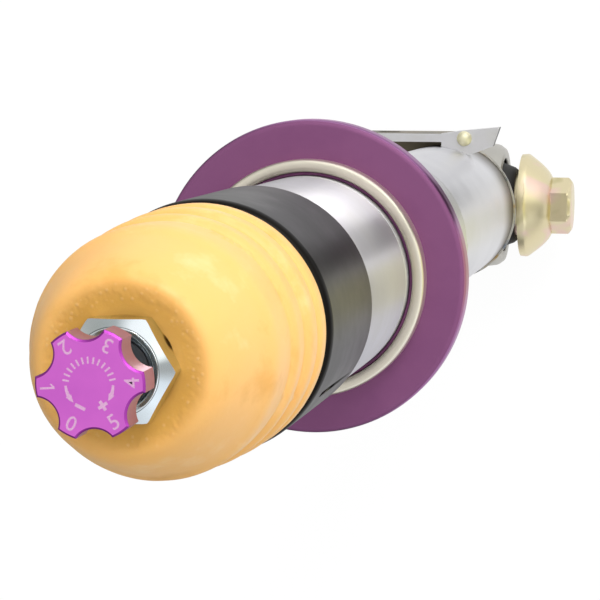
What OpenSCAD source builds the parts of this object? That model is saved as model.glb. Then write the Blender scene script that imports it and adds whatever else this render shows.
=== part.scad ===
// Damper unit of a height-adjustable suspension strut, with its spring perch.
// The origin is the centre of the lower eye. +Z runs up the strut and +X points to the head of the lower bolt.

/* [Lower eye] */
// Outer radius of the eye ring
eye_r = 23; // [21:0.5:25]
// Wall of the eye ring
eye_wall = 3.3; // [2.5:0.1:5]
// Width of the eye ring along the bolt
eye_w = 34; // [28:1:42]
// Length of the rubber bush
bush_w = 31; // [26:1:36]

/* [Bush sleeve and lower bolt] */
// Outer radius of the bush sleeve
sleeve_r = 11.3; // [9:0.1:14]
// Length of the bush sleeve
sleeve_len = 48; // [43:1:56]
// Radius of the bolt shank, half of its thread size
bolt_r = 6; // [5:0.5:7]
// Radius of the bolt flange
bolt_flange_r = 19; // [15:0.5:22]
// Thickness of the rim of the bolt flange
bolt_flange_rim = 2; // [1:0.5:4]
// Height of the domed bolt flange
bolt_flange_h = 10.5; // [7:0.5:14]
// Hexagon of the bolt head, across its flats
bolt_af = 18; // [16:1:22]
// Height of the bolt's hexagon
bolt_hex_h = 7.3; // [5:0.1:12]
// Length of bolt that stands out past the sleeve
bolt_reach = 27; // [15:1:40]
// Width of the groove where the bolt's thread starts
bolt_groove = 2.5; // [1:0.5:4]

/* [Outer tube] */
// Outer radius of the smooth and threaded tube
tube_r = 26; // [25.75:0.25:28]
// Wall of the threaded tube
tube_wall = 4; // [3:0.25:5]
// Step in radius from the thread down to the plain foot of the tube
foot_step = 2; // [1:0.25:2.5]
// Height where the tube starts
tube_foot_z = 34; // [32:1:38]
// Height where the thread starts
thread_z = 166; // [90:1:180]
// Height where the thread stops
thread_top_z = 278; // [272:1:300]
// Height of the top of the tube
tube_top_z = 371.5; // [360:0.5:390]
// Depth of the reliefs at both ends of the thread
thread_relief = 0.5; // [0.2:0.1:1]
// Thickness of the plug in the tube's foot
foot_plug = 8; // [5:0.5:12]
// Radius that rounds the foot cap
foot_round = 6; // [3:0.5:9]

/* [Tube cap] */
// Wall of the cap's sleeve
cap_wall = 0.85; // [0.7:0.05:2]
// Length of the cap along the tube
cap_len = 47; // [30:1:60]
// Thickness of the cap's top
cap_top = 4; // [2.5:0.25:6]
// Rounding of the cap's front edge
cap_round = 1.2; // [0.5:0.1:2]

/* [Spring perch] */
// Height of the seat that the spring rests on
seat_z = 270.9; // [262:0.5:276]
// Reach of the perch flange past the locator ring
flange_reach = 9.9; // [6:0.1:14]
// Thickness of the perch flange
perch_flange = 6.5; // [4:0.25:10]
// Wall of the perch hub
hub_wall = 6.95; // [6:0.05:9]
// Height of the perch hub under the flange
perch_hub_h = 14; // [10:0.5:20]
// Wall of the collar that carries the locator ring
collar_wall = 0.85; // [0.6:0.05:1.4]
// Height of the collar over the seat
collar_h = 2.2; // [1:0.1:4]
// Depth of the recess that the locator ring sits in
seat_recess = 0.5; // [0.3:0.1:1]
// Number of spanner holes in the hub
spanner_holes = 8; // [6:1:10]
// Radius of a spanner hole
spanner_hole_r = 2.5; // [2:0.25:3]
// Depth of a spanner hole
spanner_hole_depth = 4; // [2:0.5:5]
// Radius of the perch's lock screw
lock_screw_r = 2.5; // [1.5:0.25:3]

/* [Locator ring] */
// Wall of the locator ring, which centres the spring
locator_wall = 3.15; // [2.4:0.05:5]
// Height of the locator ring
locator_h = 4.3; // [3:0.1:8]
// Rounding of the locator ring's outer edge
locator_round = 1.8; // [1:0.1:2.2]

/* [Piston rod] */
// Radius of the piston rod
rod_r = 9; // [7:0.25:10]
// Bore radius of the piston rod
rod_bore_r = 2.5; // [1.5:0.1:3]
// Radius of the rod's threaded ends
rod_stud_r = 6; // [5:0.25:6.5]
// Length of travel from the stored position to full extension
travel = 180; // [80:1:190]

/* [Rod nut] */
// Hexagon of the rod nut, across its flats
nut_af = 19; // [17:1:22]
// Height of the rod nut
nut_h = 10.5; // [8:0.5:12]
// Radius of the round land on the nut's front face
nut_land_r = 8.2; // [7.8:0.1:9]
// Turn of the nut from the bolt's axis
nut_turn = 0.5; // [-30:0.1:30]
// Distance from the rod's top end down from the nut's front face
stud_recess = 2.6; // [1:0.2:4]

/* [Bump stop] */
// Step in radius from the tube cap to the bump stop
foam_inset = 0.42; // [0.1:0.01:3]
// Loss in radius over the ribs of the bump stop
foam_taper = 1.3; // [0.5:0.1:3]
// Loss in radius from the ribs to the shoulder
foam_neck = 1.3; // [0.8:0.1:3]
// Radius of the rim round the dish
foam_rim_r = 16.9; // [14.5:0.1:18]
// Height of the bump stop up to the nut's seat
foam_seat_h = 52.2; // [46:0.2:62]
// Height of the rim over the nut's seat
foam_rim_h = 6.5; // [4:0.1:8]
// Height to which the foam closes round the nut, over its seat
foam_lip_h = 4.2; // [2:0.1:6]
// Drop from the nut's seat to the shoulder
foam_shoulder_drop = 8.5; // [6:0.1:12]
// Number of grooves near the base
foam_grooves = 3; // [1:1:4]
// Pitch of the grooves
foam_pitch = 7.5; // [6:0.1:9]
// Depth of a groove
foam_groove_depth = 1.3; // [0.5:0.1:2.5]
// Rounding of the bump stop's lower edge
foam_edge = 1; // [0.4:0.1:2]

/* [Adjuster] */
// Tip radius of the knob's lobes
knob_r = 10; // [8:0.25:12]
// Thickness of the knob
knob_h = 6.3; // [4:0.1:9]
// Gap between the nut and the back of the knob
knob_gap = 8.7; // [4:0.1:12]
// Number of lobes
knob_lobes = 6; // [5:1:8]
// Least radius between two lobes
knob_waist_r = 7.8; // [6.5:0.1:7.9]
// Radius of the cut between two lobes
knob_cut_r = 4.2; // [2.5:0.1:4.4]
// Bevel of the knob's front edge
knob_bevel = 0.35; // [0.1:0.05:0.6]
// Turn of the knob from the bolt's axis
rest_turn = 4.3; // [-30:0.1:30]

/* [Inside the tube] */
// Gap between the tubes, which holds the spare oil
reservoir_gap = 3.5; // [2:0.25:4]
// Wall of the inner tube
inner_wall = 2; // [1:0.25:2.5]
// Thickness of the rod guide over the inner tube
guide_h = 12; // [8:0.5:16]
// Depth of the spigots that centre the inner tube
spigot_h = 6; // [3:0.5:10]
// Wall of the guide bush
guide_bush_wall = 1.2; // [0.8:0.1:2]
// Height of the rod seal
seal_h = 7; // [5:0.5:9]
// Height of the gland ring over the seal
gland_h = 4; // [3:0.5:6]
// Thickness of the piston
piston_h = 14; // [10:0.5:20]
// Thickness of the piston band
band_t = 1; // [0.6:0.1:1.5]
// Height of the piston band
band_h = 8; // [5:0.5:9]
// Thickness of one valve disc
disc_t = 0.3; // [0.2:0.05:0.5]
// Number of valve discs in a stack
discs = 4; // [2:1:6]
// Height of the rebound stop
stop_h = 8; // [4:0.5:12]
// Height of the piston nut
piston_nut_h = 12; // [8:0.5:16]
// Hexagon of the piston nut, across its flats
piston_nut_af = 17; // [14:1:19]
// Wall of the rebound stop
stop_wall = 4; // [2:0.25:4.5]
// Distance from the rod's upper shoulder down to the needle's top
needle_drop = 60; // [40:1:90]
// Thickness of the base valve
base_valve_h = 10; // [6:0.5:14]

/* [Bracket] */
// Sheet thickness of the bracket
sheet = 3; // [2:0.25:4]
// Half width of the bracket's plain side
bracket_left = 26; // [20:1:30]
// Half width of the bracket's tab side
bracket_right = 22.3; // [18:0.1:26]
// Height of the bracket along the strut
bracket_h = 22; // [16:1:30]
// Height of the bracket's lower edge
bracket_z = 40; // [36:1:50]
// Gap between the bracket's plate and the tube
bracket_gap = 1.6; // [0.5:0.1:4]
// Radius of the hole for a hose clip
clip_hole_r = 4; // [2:0.25:5]
// Radius of the rivet's head
rivet_r = 2.6; // [2.4:0.1:3.2]

/* [Fits] */
// Radial clearance of a running fit
running = 0.05; // [0.02:0.01:0.09]
// Radial clearance between pieces that stay together
seated = 0.02; // [0.01:0.01:0.05]
// Gap between a soft piece and its neighbour
soft_gap = 0.3; // [0.2:0.05:0.6]

/* [Hidden] */
$fn = 96;

// Overlap that lets a cut pass its face
cut = 1;

// Radii, from the tube outwards and inwards
tube_bore_r = tube_r - tube_wall;
tube_foot_r = tube_r - foot_step;
cap_r = tube_r + seated + cap_wall;
foam_r = cap_r - foam_inset;
foam_waist_r = foam_r - foam_taper;
foam_shoulder_r = foam_waist_r - foam_neck;
inner_tube_r = tube_bore_r - reservoir_gap;
inner_bore_r = inner_tube_r - inner_wall;

// Heights, from the bottom up
plug_top_z = tube_foot_z + foot_plug;
valve_z = plug_top_z + 6;
inner_z = valve_z + base_valve_h - spigot_h;
cap_top_z = tube_top_z + soft_gap + cap_top + 0.2;
gland_z = tube_top_z - gland_h;
seal_z = gland_z - seal_h;
guide_z = seal_z - guide_h;
inner_top_z = guide_z;
spigot_z = guide_z - spigot_h;

// The rod, stored with the bump stop against the cap
foam_z = cap_top_z;
nut_chamfer = 0.7;
nut_z = foam_z + foam_seat_h;
nut_top_z = nut_z + nut_h;
rod_top_z = nut_top_z - stud_recess;
shoulder_z = nut_z - 2;
knob_z = nut_top_z + knob_gap;
knob_top_z = knob_z + knob_h;
stop_z = spigot_z - travel - stop_h;
stack_h = disc_t * discs;
piston_z = stop_z - stack_h - piston_h;
rod_shoulder_z = stop_z;
piston_nut_z = piston_z - stack_h - piston_nut_h;
needle_z = piston_nut_z + 5;
needle_top_z = shoulder_z - needle_drop;

// Perch
perch_bore_r = tube_r + running;
collar_r = perch_bore_r + collar_wall;
locator_r = collar_r + running + locator_wall;
perch_r = locator_r + flange_reach;
perch_hub_r = perch_bore_r + hub_wall;
flange_z = seat_z - perch_flange;
hub_z = flange_z - perch_hub_h;

// Bracket
ear_x = bracket_right * 0.38;
saddle_x = bracket_left * 0.72;
saddle_h = bracket_h * 0.3;
saddle_drop = tube_foot_r - sqrt(pow(tube_foot_r, 2) - pow(saddle_x, 2)) + 0.5;
rivet_x = ear_x + 1.5;
rivet_y = tube_foot_r + rivet_r + 0.3;

// Eye and bolt
eye_bore_r = eye_r - eye_wall;
sleeve_bore_r = bolt_r + seated;
bolt_seat_x = sleeve_len / 2;
hex_x = bolt_seat_x + bolt_flange_h;

// Places a child along the X axis instead of the Z axis
module along_x() {
    rotate([0, 90, 0])
        children();
}

// Ring from z upwards
module ring(z, h, r_out, r_in) {
    translate([0, 0, z])
        difference() {
            cylinder(h = h, r = r_out);
            translate([0, 0, -cut])
                cylinder(h = h + 2 * cut, r = r_in);
        }
}

// Hexagon with both ends chamfered by a cone
module chamfered_hex(af, h, chamfer) {
    corner_r = af / sqrt(3);
    intersection() {
        cylinder(h = h, r = corner_r, $fn = 6);
        rotate_extrude()
            polygon([
                [0, 0], [af / 2, 0], [corner_r + chamfer, chamfer],
                [corner_r + chamfer, h - chamfer], [af / 2, h], [0, h]
            ]);
    }
}

module outer_tube() {
    color("#c4c4c8")
        rotate_extrude()
            polygon([
                [tube_bore_r, tube_foot_z], [tube_foot_r, tube_foot_z],
                [tube_foot_r, thread_z - 2 * foot_step], [tube_r - thread_relief, thread_z - thread_relief],
                [tube_r, thread_z], [tube_r, thread_top_z - 2],
                [tube_r - thread_relief, thread_top_z - 1.5], [tube_r - thread_relief, thread_top_z - 0.5],
                [tube_r, thread_top_z], [tube_r, tube_top_z - 0.8],
                [tube_r - 0.8, tube_top_z], [tube_bore_r, tube_top_z]
            ]);
}

// Rounded cap under the tube, with a plug inside it and a saddle that fits the eye ring
module foot_cap() {
    cap_low_z = eye_r * 0.5;
    straight = 2;
    round_z = tube_foot_z - straight - foot_round;
    color("#b4b4b6")
        difference() {
            union() {
                translate([0, 0, tube_foot_z - seated])
                    cylinder(h = foot_plug, r = tube_bore_r - seated);
                rotate_extrude()
                    polygon(concat(
                        [[0, cap_low_z], [tube_foot_r - foot_round, cap_low_z]],
                        [for (a = [0:10:90]) [
                            tube_foot_r - foot_round + foot_round * sin(a),
                            round_z + foot_round * (1 - cos(a))
                        ]],
                        [[tube_foot_r, tube_foot_z - seated], [0, tube_foot_z - seated]]
                    ));
            }
            along_x()
                cylinder(h = 3 * eye_w, r = eye_r + seated, center = true);
        }
}

module eye_ring() {
    lip = 0.8;
    color("#bdbdbf")
        along_x()
            rotate_extrude()
                polygon([
                    [eye_bore_r, -eye_w / 2], [eye_r - lip, -eye_w / 2], [eye_r, -eye_w / 2 + lip],
                    [eye_r, eye_w / 2 - lip], [eye_r - lip, eye_w / 2], [eye_bore_r, eye_w / 2]
                ]);
}

// Rubber between the ring and the sleeve, with a groove in each end
module rubber_bush() {
    r_in = sleeve_r + running;
    r_out = eye_bore_r - seated;
    mid = (r_in + r_out) / 2;
    half = bush_w / 2;
    dish = 2.5;
    color("#1c1b1b")
        along_x()
            rotate_extrude()
                polygon([
                    [r_in, -half - dish], [r_in + 2, -half - dish], [mid, -half + dish], [r_out, -half],
                    [r_out, half], [mid, half - dish], [r_in + 2, half + dish], [r_in, half + dish]
                ]);
}

module bush_sleeve() {
    color("#bfa96a")
        along_x()
            rotate_extrude()
                polygon([
                    [sleeve_bore_r, -sleeve_len / 2], [sleeve_r - 0.6, -sleeve_len / 2],
                    [sleeve_r, -sleeve_len / 2 + 0.6], [sleeve_r, sleeve_len / 2 - 0.6],
                    [sleeve_r - 0.6, sleeve_len / 2], [sleeve_bore_r, sleeve_len / 2]
                ]);
}

// Domed flange bolt: shank, concave-sided flange and hexagon
module lower_bolt() {
    top_r = bolt_af / 2 - 0.4;
    steps = 8;
    shank_len = sleeve_len + bolt_reach;
    color("#c2ad72")
        along_x() {
            union() {
                rotate_extrude()
                    polygon(concat(
                        [
                            [0, bolt_seat_x - shank_len], [bolt_r - 1, bolt_seat_x - shank_len],
                            [bolt_r, bolt_seat_x - shank_len + 1], [bolt_r, -sleeve_len / 2 - bolt_groove],
                            [bolt_r - 0.8, -sleeve_len / 2 - bolt_groove], [bolt_r - 0.8, -sleeve_len / 2],
                            [bolt_r, -sleeve_len / 2], [bolt_r, bolt_seat_x],
                            [bolt_flange_r - 1, bolt_seat_x], [bolt_flange_r, bolt_seat_x + 0.7]
                        ],
                        [for (i = [0:steps]) [
                            bolt_flange_r - (bolt_flange_r - top_r) * i / steps,
                            bolt_seat_x + bolt_flange_rim
                                + (bolt_flange_h - bolt_flange_rim) * sin(90 * i / steps)
                        ]],
                        [[0, bolt_seat_x + bolt_flange_h]]
                    ));
                translate([0, 0, hex_x - bolt_hex_h])
                    rotate(30)
                        chamfered_hex(bolt_af, 2 * bolt_hex_h, 1.2);
            }
        }
}

// Black cap that slides over the tube's top and closes it round the rod
module tube_cap() {
    cap_z = cap_top_z - cap_len;
    color("#2b2b2c")
        rotate_extrude()
            polygon(concat(
                [[rod_r + 0.6, cap_top_z - cap_top], [tube_r + seated, cap_top_z - cap_top]],
                [[tube_r + seated, cap_z], [cap_r, cap_z], [cap_r, cap_top_z - cap_round]],
                [for (a = [30:30:90]) [
                    cap_r - cap_round + cap_round * cos(a),
                    cap_top_z - cap_round + cap_round * sin(a)
                ]],
                [[rod_r + 0.6, cap_top_z]]
            ));
}

module gland_ring() {
    color("#8f8f92")
        ring(gland_z, gland_h, tube_bore_r - seated, rod_r + 0.8);
}

module rod_seal() {
    lip = 1.5;
    color("#1f1f20")
        rotate_extrude()
            polygon([
                [rod_r + running, seal_z + 1], [rod_r + lip, seal_z + 0.2],
                [tube_bore_r - seated, seal_z], [tube_bore_r - seated, seal_z + seal_h],
                [rod_r + lip, seal_z + seal_h - 0.2], [rod_r + running, seal_z + seal_h - 1.5]
            ]);
}

// Guide that centres the rod in both tubes
module rod_guide() {
    bore = rod_r + running + guide_bush_wall + seated;
    groove_r = 1.2;
    color("#9a9da1")
        difference() {
            union() {
                translate([0, 0, guide_z])
                    cylinder(h = guide_h, r = tube_bore_r - seated);
                translate([0, 0, spigot_z])
                    cylinder(h = spigot_h + cut, r = inner_bore_r - seated);
            }
            translate([0, 0, spigot_z - cut])
                cylinder(h = guide_h + spigot_h + 2 * cut, r = bore);
            ring(guide_z + guide_h / 2 - groove_r, 2 * groove_r, tube_bore_r + cut, tube_bore_r - 2 * groove_r);
        }
}

module guide_bush() {
    r_in = rod_r + running;
    color("#a07d4a")
        ring(spigot_z + 1, guide_h + spigot_h - 2, r_in + guide_bush_wall, r_in);
}

module guide_o_ring() {
    groove_r = 1.2;
    color("#202020")
        translate([0, 0, guide_z + guide_h / 2])
            rotate_extrude()
                translate([tube_bore_r - groove_r, 0])
                    circle(r = groove_r - seated, $fn = 24);
}

module inner_tube() {
    color("#aeb2b6")
        ring(inner_z, inner_top_z - inner_z, inner_tube_r, inner_bore_r);
}

// Base valve: a plate that stands on the plug and carries the inner tube
module base_valve_body() {
    foot_r = tube_bore_r - 2;
    ports = 6;
    color("#8c8f94")
        difference() {
            union() {
                translate([0, 0, inner_z])
                    cylinder(h = spigot_h, r = inner_bore_r - seated);
                translate([0, 0, plug_top_z])
                    cylinder(h = inner_z - plug_top_z, r = foot_r);
            }
            translate([0, 0, plug_top_z - cut])
                cylinder(h = 3 + cut, r = inner_bore_r - 3);
            translate([0, 0, plug_top_z - cut])
                cylinder(h = inner_z - plug_top_z + spigot_h + 2 * cut, r = 3 + seated);
            for (i = [0:ports - 1])
                rotate([0, 0, i * 360 / ports])
                    translate([inner_bore_r * 0.55, 0, plug_top_z - cut])
                        cylinder(h = inner_z - plug_top_z + spigot_h + 2 * cut, r = 1.8);
            for (i = [0:ports - 1])
                rotate([0, 0, i * 360 / ports])
                    translate([foot_r, 0, plug_top_z - cut])
                        cylinder(h = 3 + cut, r = 2.5);
        }
}

module disc_stack(z, r_low, r_high, bore) {
    for (i = [0:discs - 1])
        ring(z + i * disc_t, disc_t, r_low + (r_high - r_low) * i / discs, bore);
}

module base_valve_discs() {
    color("#b9bcc0")
        disc_stack(inner_z + spigot_h, inner_bore_r - 4.5, inner_bore_r * 0.42, 3 + seated);
}

module base_valve_bolt() {
    color("#7d7f82")
        union() {
            translate([0, 0, plug_top_z + 0.5])
                cylinder(h = inner_z + spigot_h + stack_h + 4 - plug_top_z - 0.5, r = 3);
            translate([0, 0, inner_z + spigot_h + stack_h])
                chamfered_hex(10, 4, 0.5);
        }
}

// Hollow rod with a threaded stud at each end
module piston_rod() {
    color("#d2d3d6")
        rotate_extrude()
            polygon([
                [rod_bore_r, piston_nut_z + 2], [rod_stud_r - 0.8, piston_nut_z + 2],
                [rod_stud_r, piston_nut_z + 2.8], [rod_stud_r, rod_shoulder_z],
                [rod_r, rod_shoulder_z], [rod_r, shoulder_z - 1], [rod_r - 1, shoulder_z],
                [rod_stud_r, shoulder_z], [rod_stud_r, rod_top_z - 0.8],
                [rod_stud_r - 0.8, rod_top_z], [rod_bore_r, rod_top_z]
            ]);
}

module rod_nut() {
    color("#c9ccd0")
        translate([0, 0, nut_z])
            rotate(nut_turn)
            difference() {
                intersection() {
                    chamfered_hex(nut_af, nut_h, nut_chamfer);
                    cylinder(h = nut_h, r1 = nut_land_r + 2 * nut_h, r2 = nut_land_r);
                }
                translate([0, 0, -cut])
                    cylinder(h = nut_h + 2 * cut, r = rod_stud_r + seated);
                translate([0, 0, nut_h - 0.8])
                    cylinder(h = 0.8 + cut, r1 = rod_stud_r + seated, r2 = rod_stud_r + seated + 1.8);
            }
}

// Foam bump stop: ribbed base, plain waist, domed front and a dish for the nut
module bump_stop() {
    bore = rod_r + soft_gap;
    groove_z = [for (i = [0:foam_grooves - 1]) foam_z + (i + 1) * foam_pitch];
    ribs_top = foam_z + foam_grooves * foam_pitch + foam_pitch / 2;
    lean = (foam_r - foam_waist_r) / foam_grooves;
    dish_r = nut_af / sqrt(3) + 0.3;
    lip_z = nut_z + foam_lip_h;
    rim_z = nut_z + foam_rim_h;
    shoulder = nut_z - foam_shoulder_drop;
    seat_z_low = nut_z - soft_gap;
    mid_r = foam_rim_r + (foam_shoulder_r - foam_rim_r) * 0.72;
    color("#e8bf6f")
        rotate_extrude()
            polygon(concat(
                [[bore, foam_z], [foam_r - foam_edge, foam_z], [foam_r, foam_z + 1.4 * foam_edge]],
                [for (i = [0:foam_grooves - 1]) for (p = [
                    [0, -1.6], [foam_groove_depth, -0.5], [foam_groove_depth, 0.5], [0, 1.6]
                ]) [foam_r - lean * i - p[0] - (p[1] > 0 ? lean / 2 : 0), groove_z[i] + p[1]]],
                [[foam_waist_r, ribs_top], [foam_waist_r - 0.2, (ribs_top + shoulder) / 2]],
                [[foam_shoulder_r + 0.6, shoulder - 3.5], [foam_shoulder_r, shoulder]],
                [[mid_r, shoulder + (rim_z - shoulder) * 0.55]],
                [[foam_rim_r + 1.6, rim_z - 1], [foam_rim_r, rim_z], [foam_rim_r - 1.4, rim_z - 0.4]],
                [[dish_r + 0.7, lip_z + 0.6], [dish_r, lip_z]],
                [[dish_r, seat_z_low], [bore, seat_z_low]]
            ));
}

module rebound_stop() {
    color("#5c5e61")
        ring(stop_z, stop_h, rod_r + stop_wall, rod_r + seated);
}

// Piston with oil ports and a groove for its band
module piston() {
    r = inner_bore_r - 0.25;
    ports = 6;
    color("#9c9fa4")
        difference() {
            translate([0, 0, piston_z])
                cylinder(h = piston_h, r = r);
            translate([0, 0, piston_z - cut])
                cylinder(h = piston_h + 2 * cut, r = rod_stud_r + seated);
            for (i = [0:ports - 1])
                rotate([0, 0, i * 360 / ports])
                    translate([(rod_stud_r + inner_bore_r) / 2, 0, piston_z - cut])
                        cylinder(h = piston_h + 2 * cut, r = 1.8);
            ring(piston_z + (piston_h - band_h) / 2, band_h, r + cut, inner_bore_r - running - band_t);
        }
}

module piston_band() {
    color("#3c4a42")
        ring(
            piston_z + (piston_h - band_h) / 2 + seated, band_h - 2 * seated,
            inner_bore_r - running, inner_bore_r - running - band_t + seated
        );
}

module rebound_discs() {
    color("#b9bcc0")
        translate([0, 0, piston_z - stack_h])
            disc_stack(0, rod_stud_r + 3.5, inner_bore_r - 4, rod_stud_r + seated);
}

module compression_discs() {
    color("#b9bcc0")
        disc_stack(piston_z + piston_h, inner_bore_r - 4, rod_stud_r + 4.5, rod_stud_r + seated);
}

module piston_nut() {
    orifice_r = 1.2;
    color("#77797c")
        translate([0, 0, piston_nut_z])
            difference() {
                chamfered_hex(piston_nut_af, piston_nut_h, 1);
                translate([0, 0, 2 - seated])
                    cylinder(h = piston_nut_h, r = rod_stud_r + seated);
                translate([0, 0, -cut])
                    cylinder(h = 4, r = orifice_r);
            }
}

// Lobed knob with a bevelled front edge
module knob_outline(grow) {
    difference() {
        circle(r = knob_r + grow);
        for (i = [0:knob_lobes - 1])
            rotate((i + 0.5) * 360 / knob_lobes)
                translate([knob_waist_r + knob_cut_r, 0])
                    circle(r = knob_cut_r - grow);
    }
}

module adjuster_knob() {
    color("#b03fb0")
        translate([0, 0, knob_z])
            rotate(rest_turn)
            difference() {
                union() {
                    linear_extrude(knob_h - knob_bevel)
                        knob_outline(0);
                    linear_extrude(knob_h)
                        knob_outline(-knob_bevel);
                }
                translate([0, 0, -cut])
                    cylinder(h = knob_h / 2 + cut, r = rod_bore_r - running + seated);
            }
}

module adjuster_stem() {
    color("#a8a9ab")
        translate([0, 0, needle_top_z + 1.5])
            cylinder(h = knob_z + knob_h / 2 - needle_top_z - 1.5 - seated, r = rod_bore_r - running);
}

module adjuster_needle() {
    tip = 4;
    color("#c8a860")
        translate([0, 0, needle_z])
            union() {
                cylinder(h = tip, r1 = 0.6, r2 = rod_bore_r - running);
                translate([0, 0, tip])
                    cylinder(h = needle_top_z - needle_z - tip, r = rod_bore_r - running);
            }
}

// Threaded perch: hub, spring flange and the collar of the locator ring
module spring_perch() {
    edge = 0.6;
    screw_z = hub_z + perch_hub_h / 2;
    color("#84497a")
        difference() {
            rotate_extrude()
                polygon([
                    [perch_bore_r, hub_z], [perch_hub_r - edge, hub_z], [perch_hub_r, hub_z + edge],
                    [perch_hub_r, flange_z], [perch_r - edge, flange_z], [perch_r, flange_z + edge],
                    [perch_r, seat_z - edge], [perch_r - edge, seat_z],
                    [locator_r + soft_gap, seat_z], [locator_r + soft_gap, seat_z - seat_recess],
                    [collar_r, seat_z - seat_recess], [collar_r, seat_z + collar_h],
                    [perch_bore_r, seat_z + collar_h]
                ]);
            for (i = [0:spanner_holes - 1])
                rotate([0, 0, (i + 0.5) * 360 / spanner_holes])
                    translate([perch_hub_r + cut, 0, screw_z])
                        rotate([0, -90, 0])
                            cylinder(h = spanner_hole_depth + cut, r = spanner_hole_r);
            translate([0, 0, screw_z])
                rotate([0, 90, 0])
                    cylinder(h = perch_hub_r + cut, r = lock_screw_r + seated);
        }
}

module perch_lock_screw() {
    start = perch_bore_r + 0.4;
    screw_z = hub_z + perch_hub_h / 2;
    color("#6d6f72")
        translate([start, 0, screw_z])
            rotate([0, 90, 0])
                difference() {
                    cylinder(h = perch_hub_r - start - 0.5, r = lock_screw_r);
                    translate([0, 0, perch_hub_r - start - 2.5])
                        cylinder(h = 2 + cut, r = lock_screw_r * 0.55, $fn = 6);
                }
}

module locator_ring() {
    r_in = collar_r + running;
    top = seat_z + locator_h;
    inner_round = 1.1;
    color("#d9d5c4")
        rotate_extrude()
            polygon(concat(
                [[r_in, seat_z - seat_recess], [locator_r - seat_recess, seat_z - seat_recess]],
                [[locator_r, seat_z]],
                [for (a = [0:15:90]) [
                    locator_r - locator_round + locator_round * cos(a),
                    top - locator_round + locator_round * sin(a)
                ]],
                [[r_in + inner_round, top], [r_in + inner_round * 0.3, top - inner_round * 0.4]],
                [[r_in, top - 1.5 * inner_round]]
            ));
}

// Bracket welded to the tube's foot: a flat plate and an upright tab
module hose_bracket() {
    plate_y = tube_foot_r + bracket_gap;
    top_z = bracket_z + bracket_h;
    color("#a39a7c")
        difference() {
            union() {
                translate([-bracket_left, plate_y, bracket_z])
                    cube([bracket_left + ear_x, sheet, bracket_h]);
                translate([-saddle_x, tube_foot_r - saddle_drop, bracket_z])
                    cube([saddle_x + ear_x, saddle_drop + bracket_gap + sheet / 2, saddle_h]);
                translate([0, 0, top_z - sheet])
                    linear_extrude(sheet)
                        polygon([
                            [2, tube_foot_r - 4], [2, plate_y + sheet],
                            [ear_x, plate_y + sheet + 1], [bracket_right, plate_y + sheet + 2.4],
                            [bracket_right - 2.3, tube_foot_r + 0.4], [ear_x, tube_foot_r - 4]
                        ]);
            }
            cylinder(h = 2 * top_z, r = tube_foot_r + seated);
            translate([-bracket_left + 2 * clip_hole_r, plate_y - cut, bracket_z + bracket_h / 2])
                rotate([-90, 0, 0])
                    cylinder(h = sheet + 2 * cut, r = clip_hole_r);
            translate([rivet_x, rivet_y, top_z - sheet - cut])
                cylinder(h = sheet + 2 * cut, r = rivet_r / 2 + seated);
        }
}

module bracket_rivet() {
    color("#e6e0b0")
        translate([rivet_x, rivet_y, bracket_z + bracket_h])
            rotate_extrude()
                polygon(concat(
                    [[0, -sheet], [rivet_r / 2, -sheet], [rivet_r / 2, 0], [rivet_r, 0]],
                    [for (a = [15:15:90]) [rivet_r * cos(a), rivet_r * 0.8 * sin(a)]]
                ));
}

outer_tube();
foot_cap();
eye_ring();
rubber_bush();
bush_sleeve();
lower_bolt();
tube_cap();
gland_ring();
rod_seal();
rod_guide();
guide_bush();
guide_o_ring();
inner_tube();
base_valve_body();
base_valve_discs();
base_valve_bolt();
piston_rod();
rod_nut();
bump_stop();
rebound_stop();
piston();
piston_band();
rebound_discs();
compression_discs();
piston_nut();
adjuster_knob();
adjuster_stem();
adjuster_needle();
spring_perch();
perch_lock_screw();
locator_ring();
hose_bracket();
bracket_rivet();
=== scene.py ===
"""Looks of a strut damper unit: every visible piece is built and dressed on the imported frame.

Sizes in the dataclasses are millimetres in the frame's own axes: +Z runs up the strut, +X along the lower bolt.
"""

import logging
import math
from collections.abc import Sequence
from dataclasses import dataclass, field
from enum import Enum

import bmesh
import bpy
from mathutils import Matrix, Vector, noise


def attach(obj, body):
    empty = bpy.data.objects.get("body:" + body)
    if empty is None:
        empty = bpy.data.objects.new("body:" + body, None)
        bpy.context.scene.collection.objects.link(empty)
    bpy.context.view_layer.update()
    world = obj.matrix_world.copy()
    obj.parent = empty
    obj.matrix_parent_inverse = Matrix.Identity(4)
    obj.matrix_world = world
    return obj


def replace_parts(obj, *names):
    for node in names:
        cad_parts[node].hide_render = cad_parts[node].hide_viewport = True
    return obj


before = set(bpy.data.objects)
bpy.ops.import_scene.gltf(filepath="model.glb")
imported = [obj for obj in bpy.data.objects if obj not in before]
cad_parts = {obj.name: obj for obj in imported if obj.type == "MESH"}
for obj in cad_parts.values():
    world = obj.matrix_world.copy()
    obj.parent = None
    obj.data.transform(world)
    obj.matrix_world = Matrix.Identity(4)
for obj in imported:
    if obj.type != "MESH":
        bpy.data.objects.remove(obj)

# short names of the types in the signatures
Tree = bpy.types.NodeTree
Node = bpy.types.Node
Socket = bpy.types.NodeSocket
Piece = bpy.types.Object
BMesh = bmesh.types.BMesh

LOG = logging.getLogger("strut")
MM = 0.001


class Axis(Enum):
    """Which axis of the frame a turned piece goes round."""

    STRUT = "strut"
    BOLT = "bolt"


@dataclass(frozen=True)
class Corner:
    """One corner of a turned profile, with the radius of its fillet."""

    r: float
    h: float
    fillet: float = 0.0


# --------------------------------------------------------------------------- colours and nodes


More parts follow.
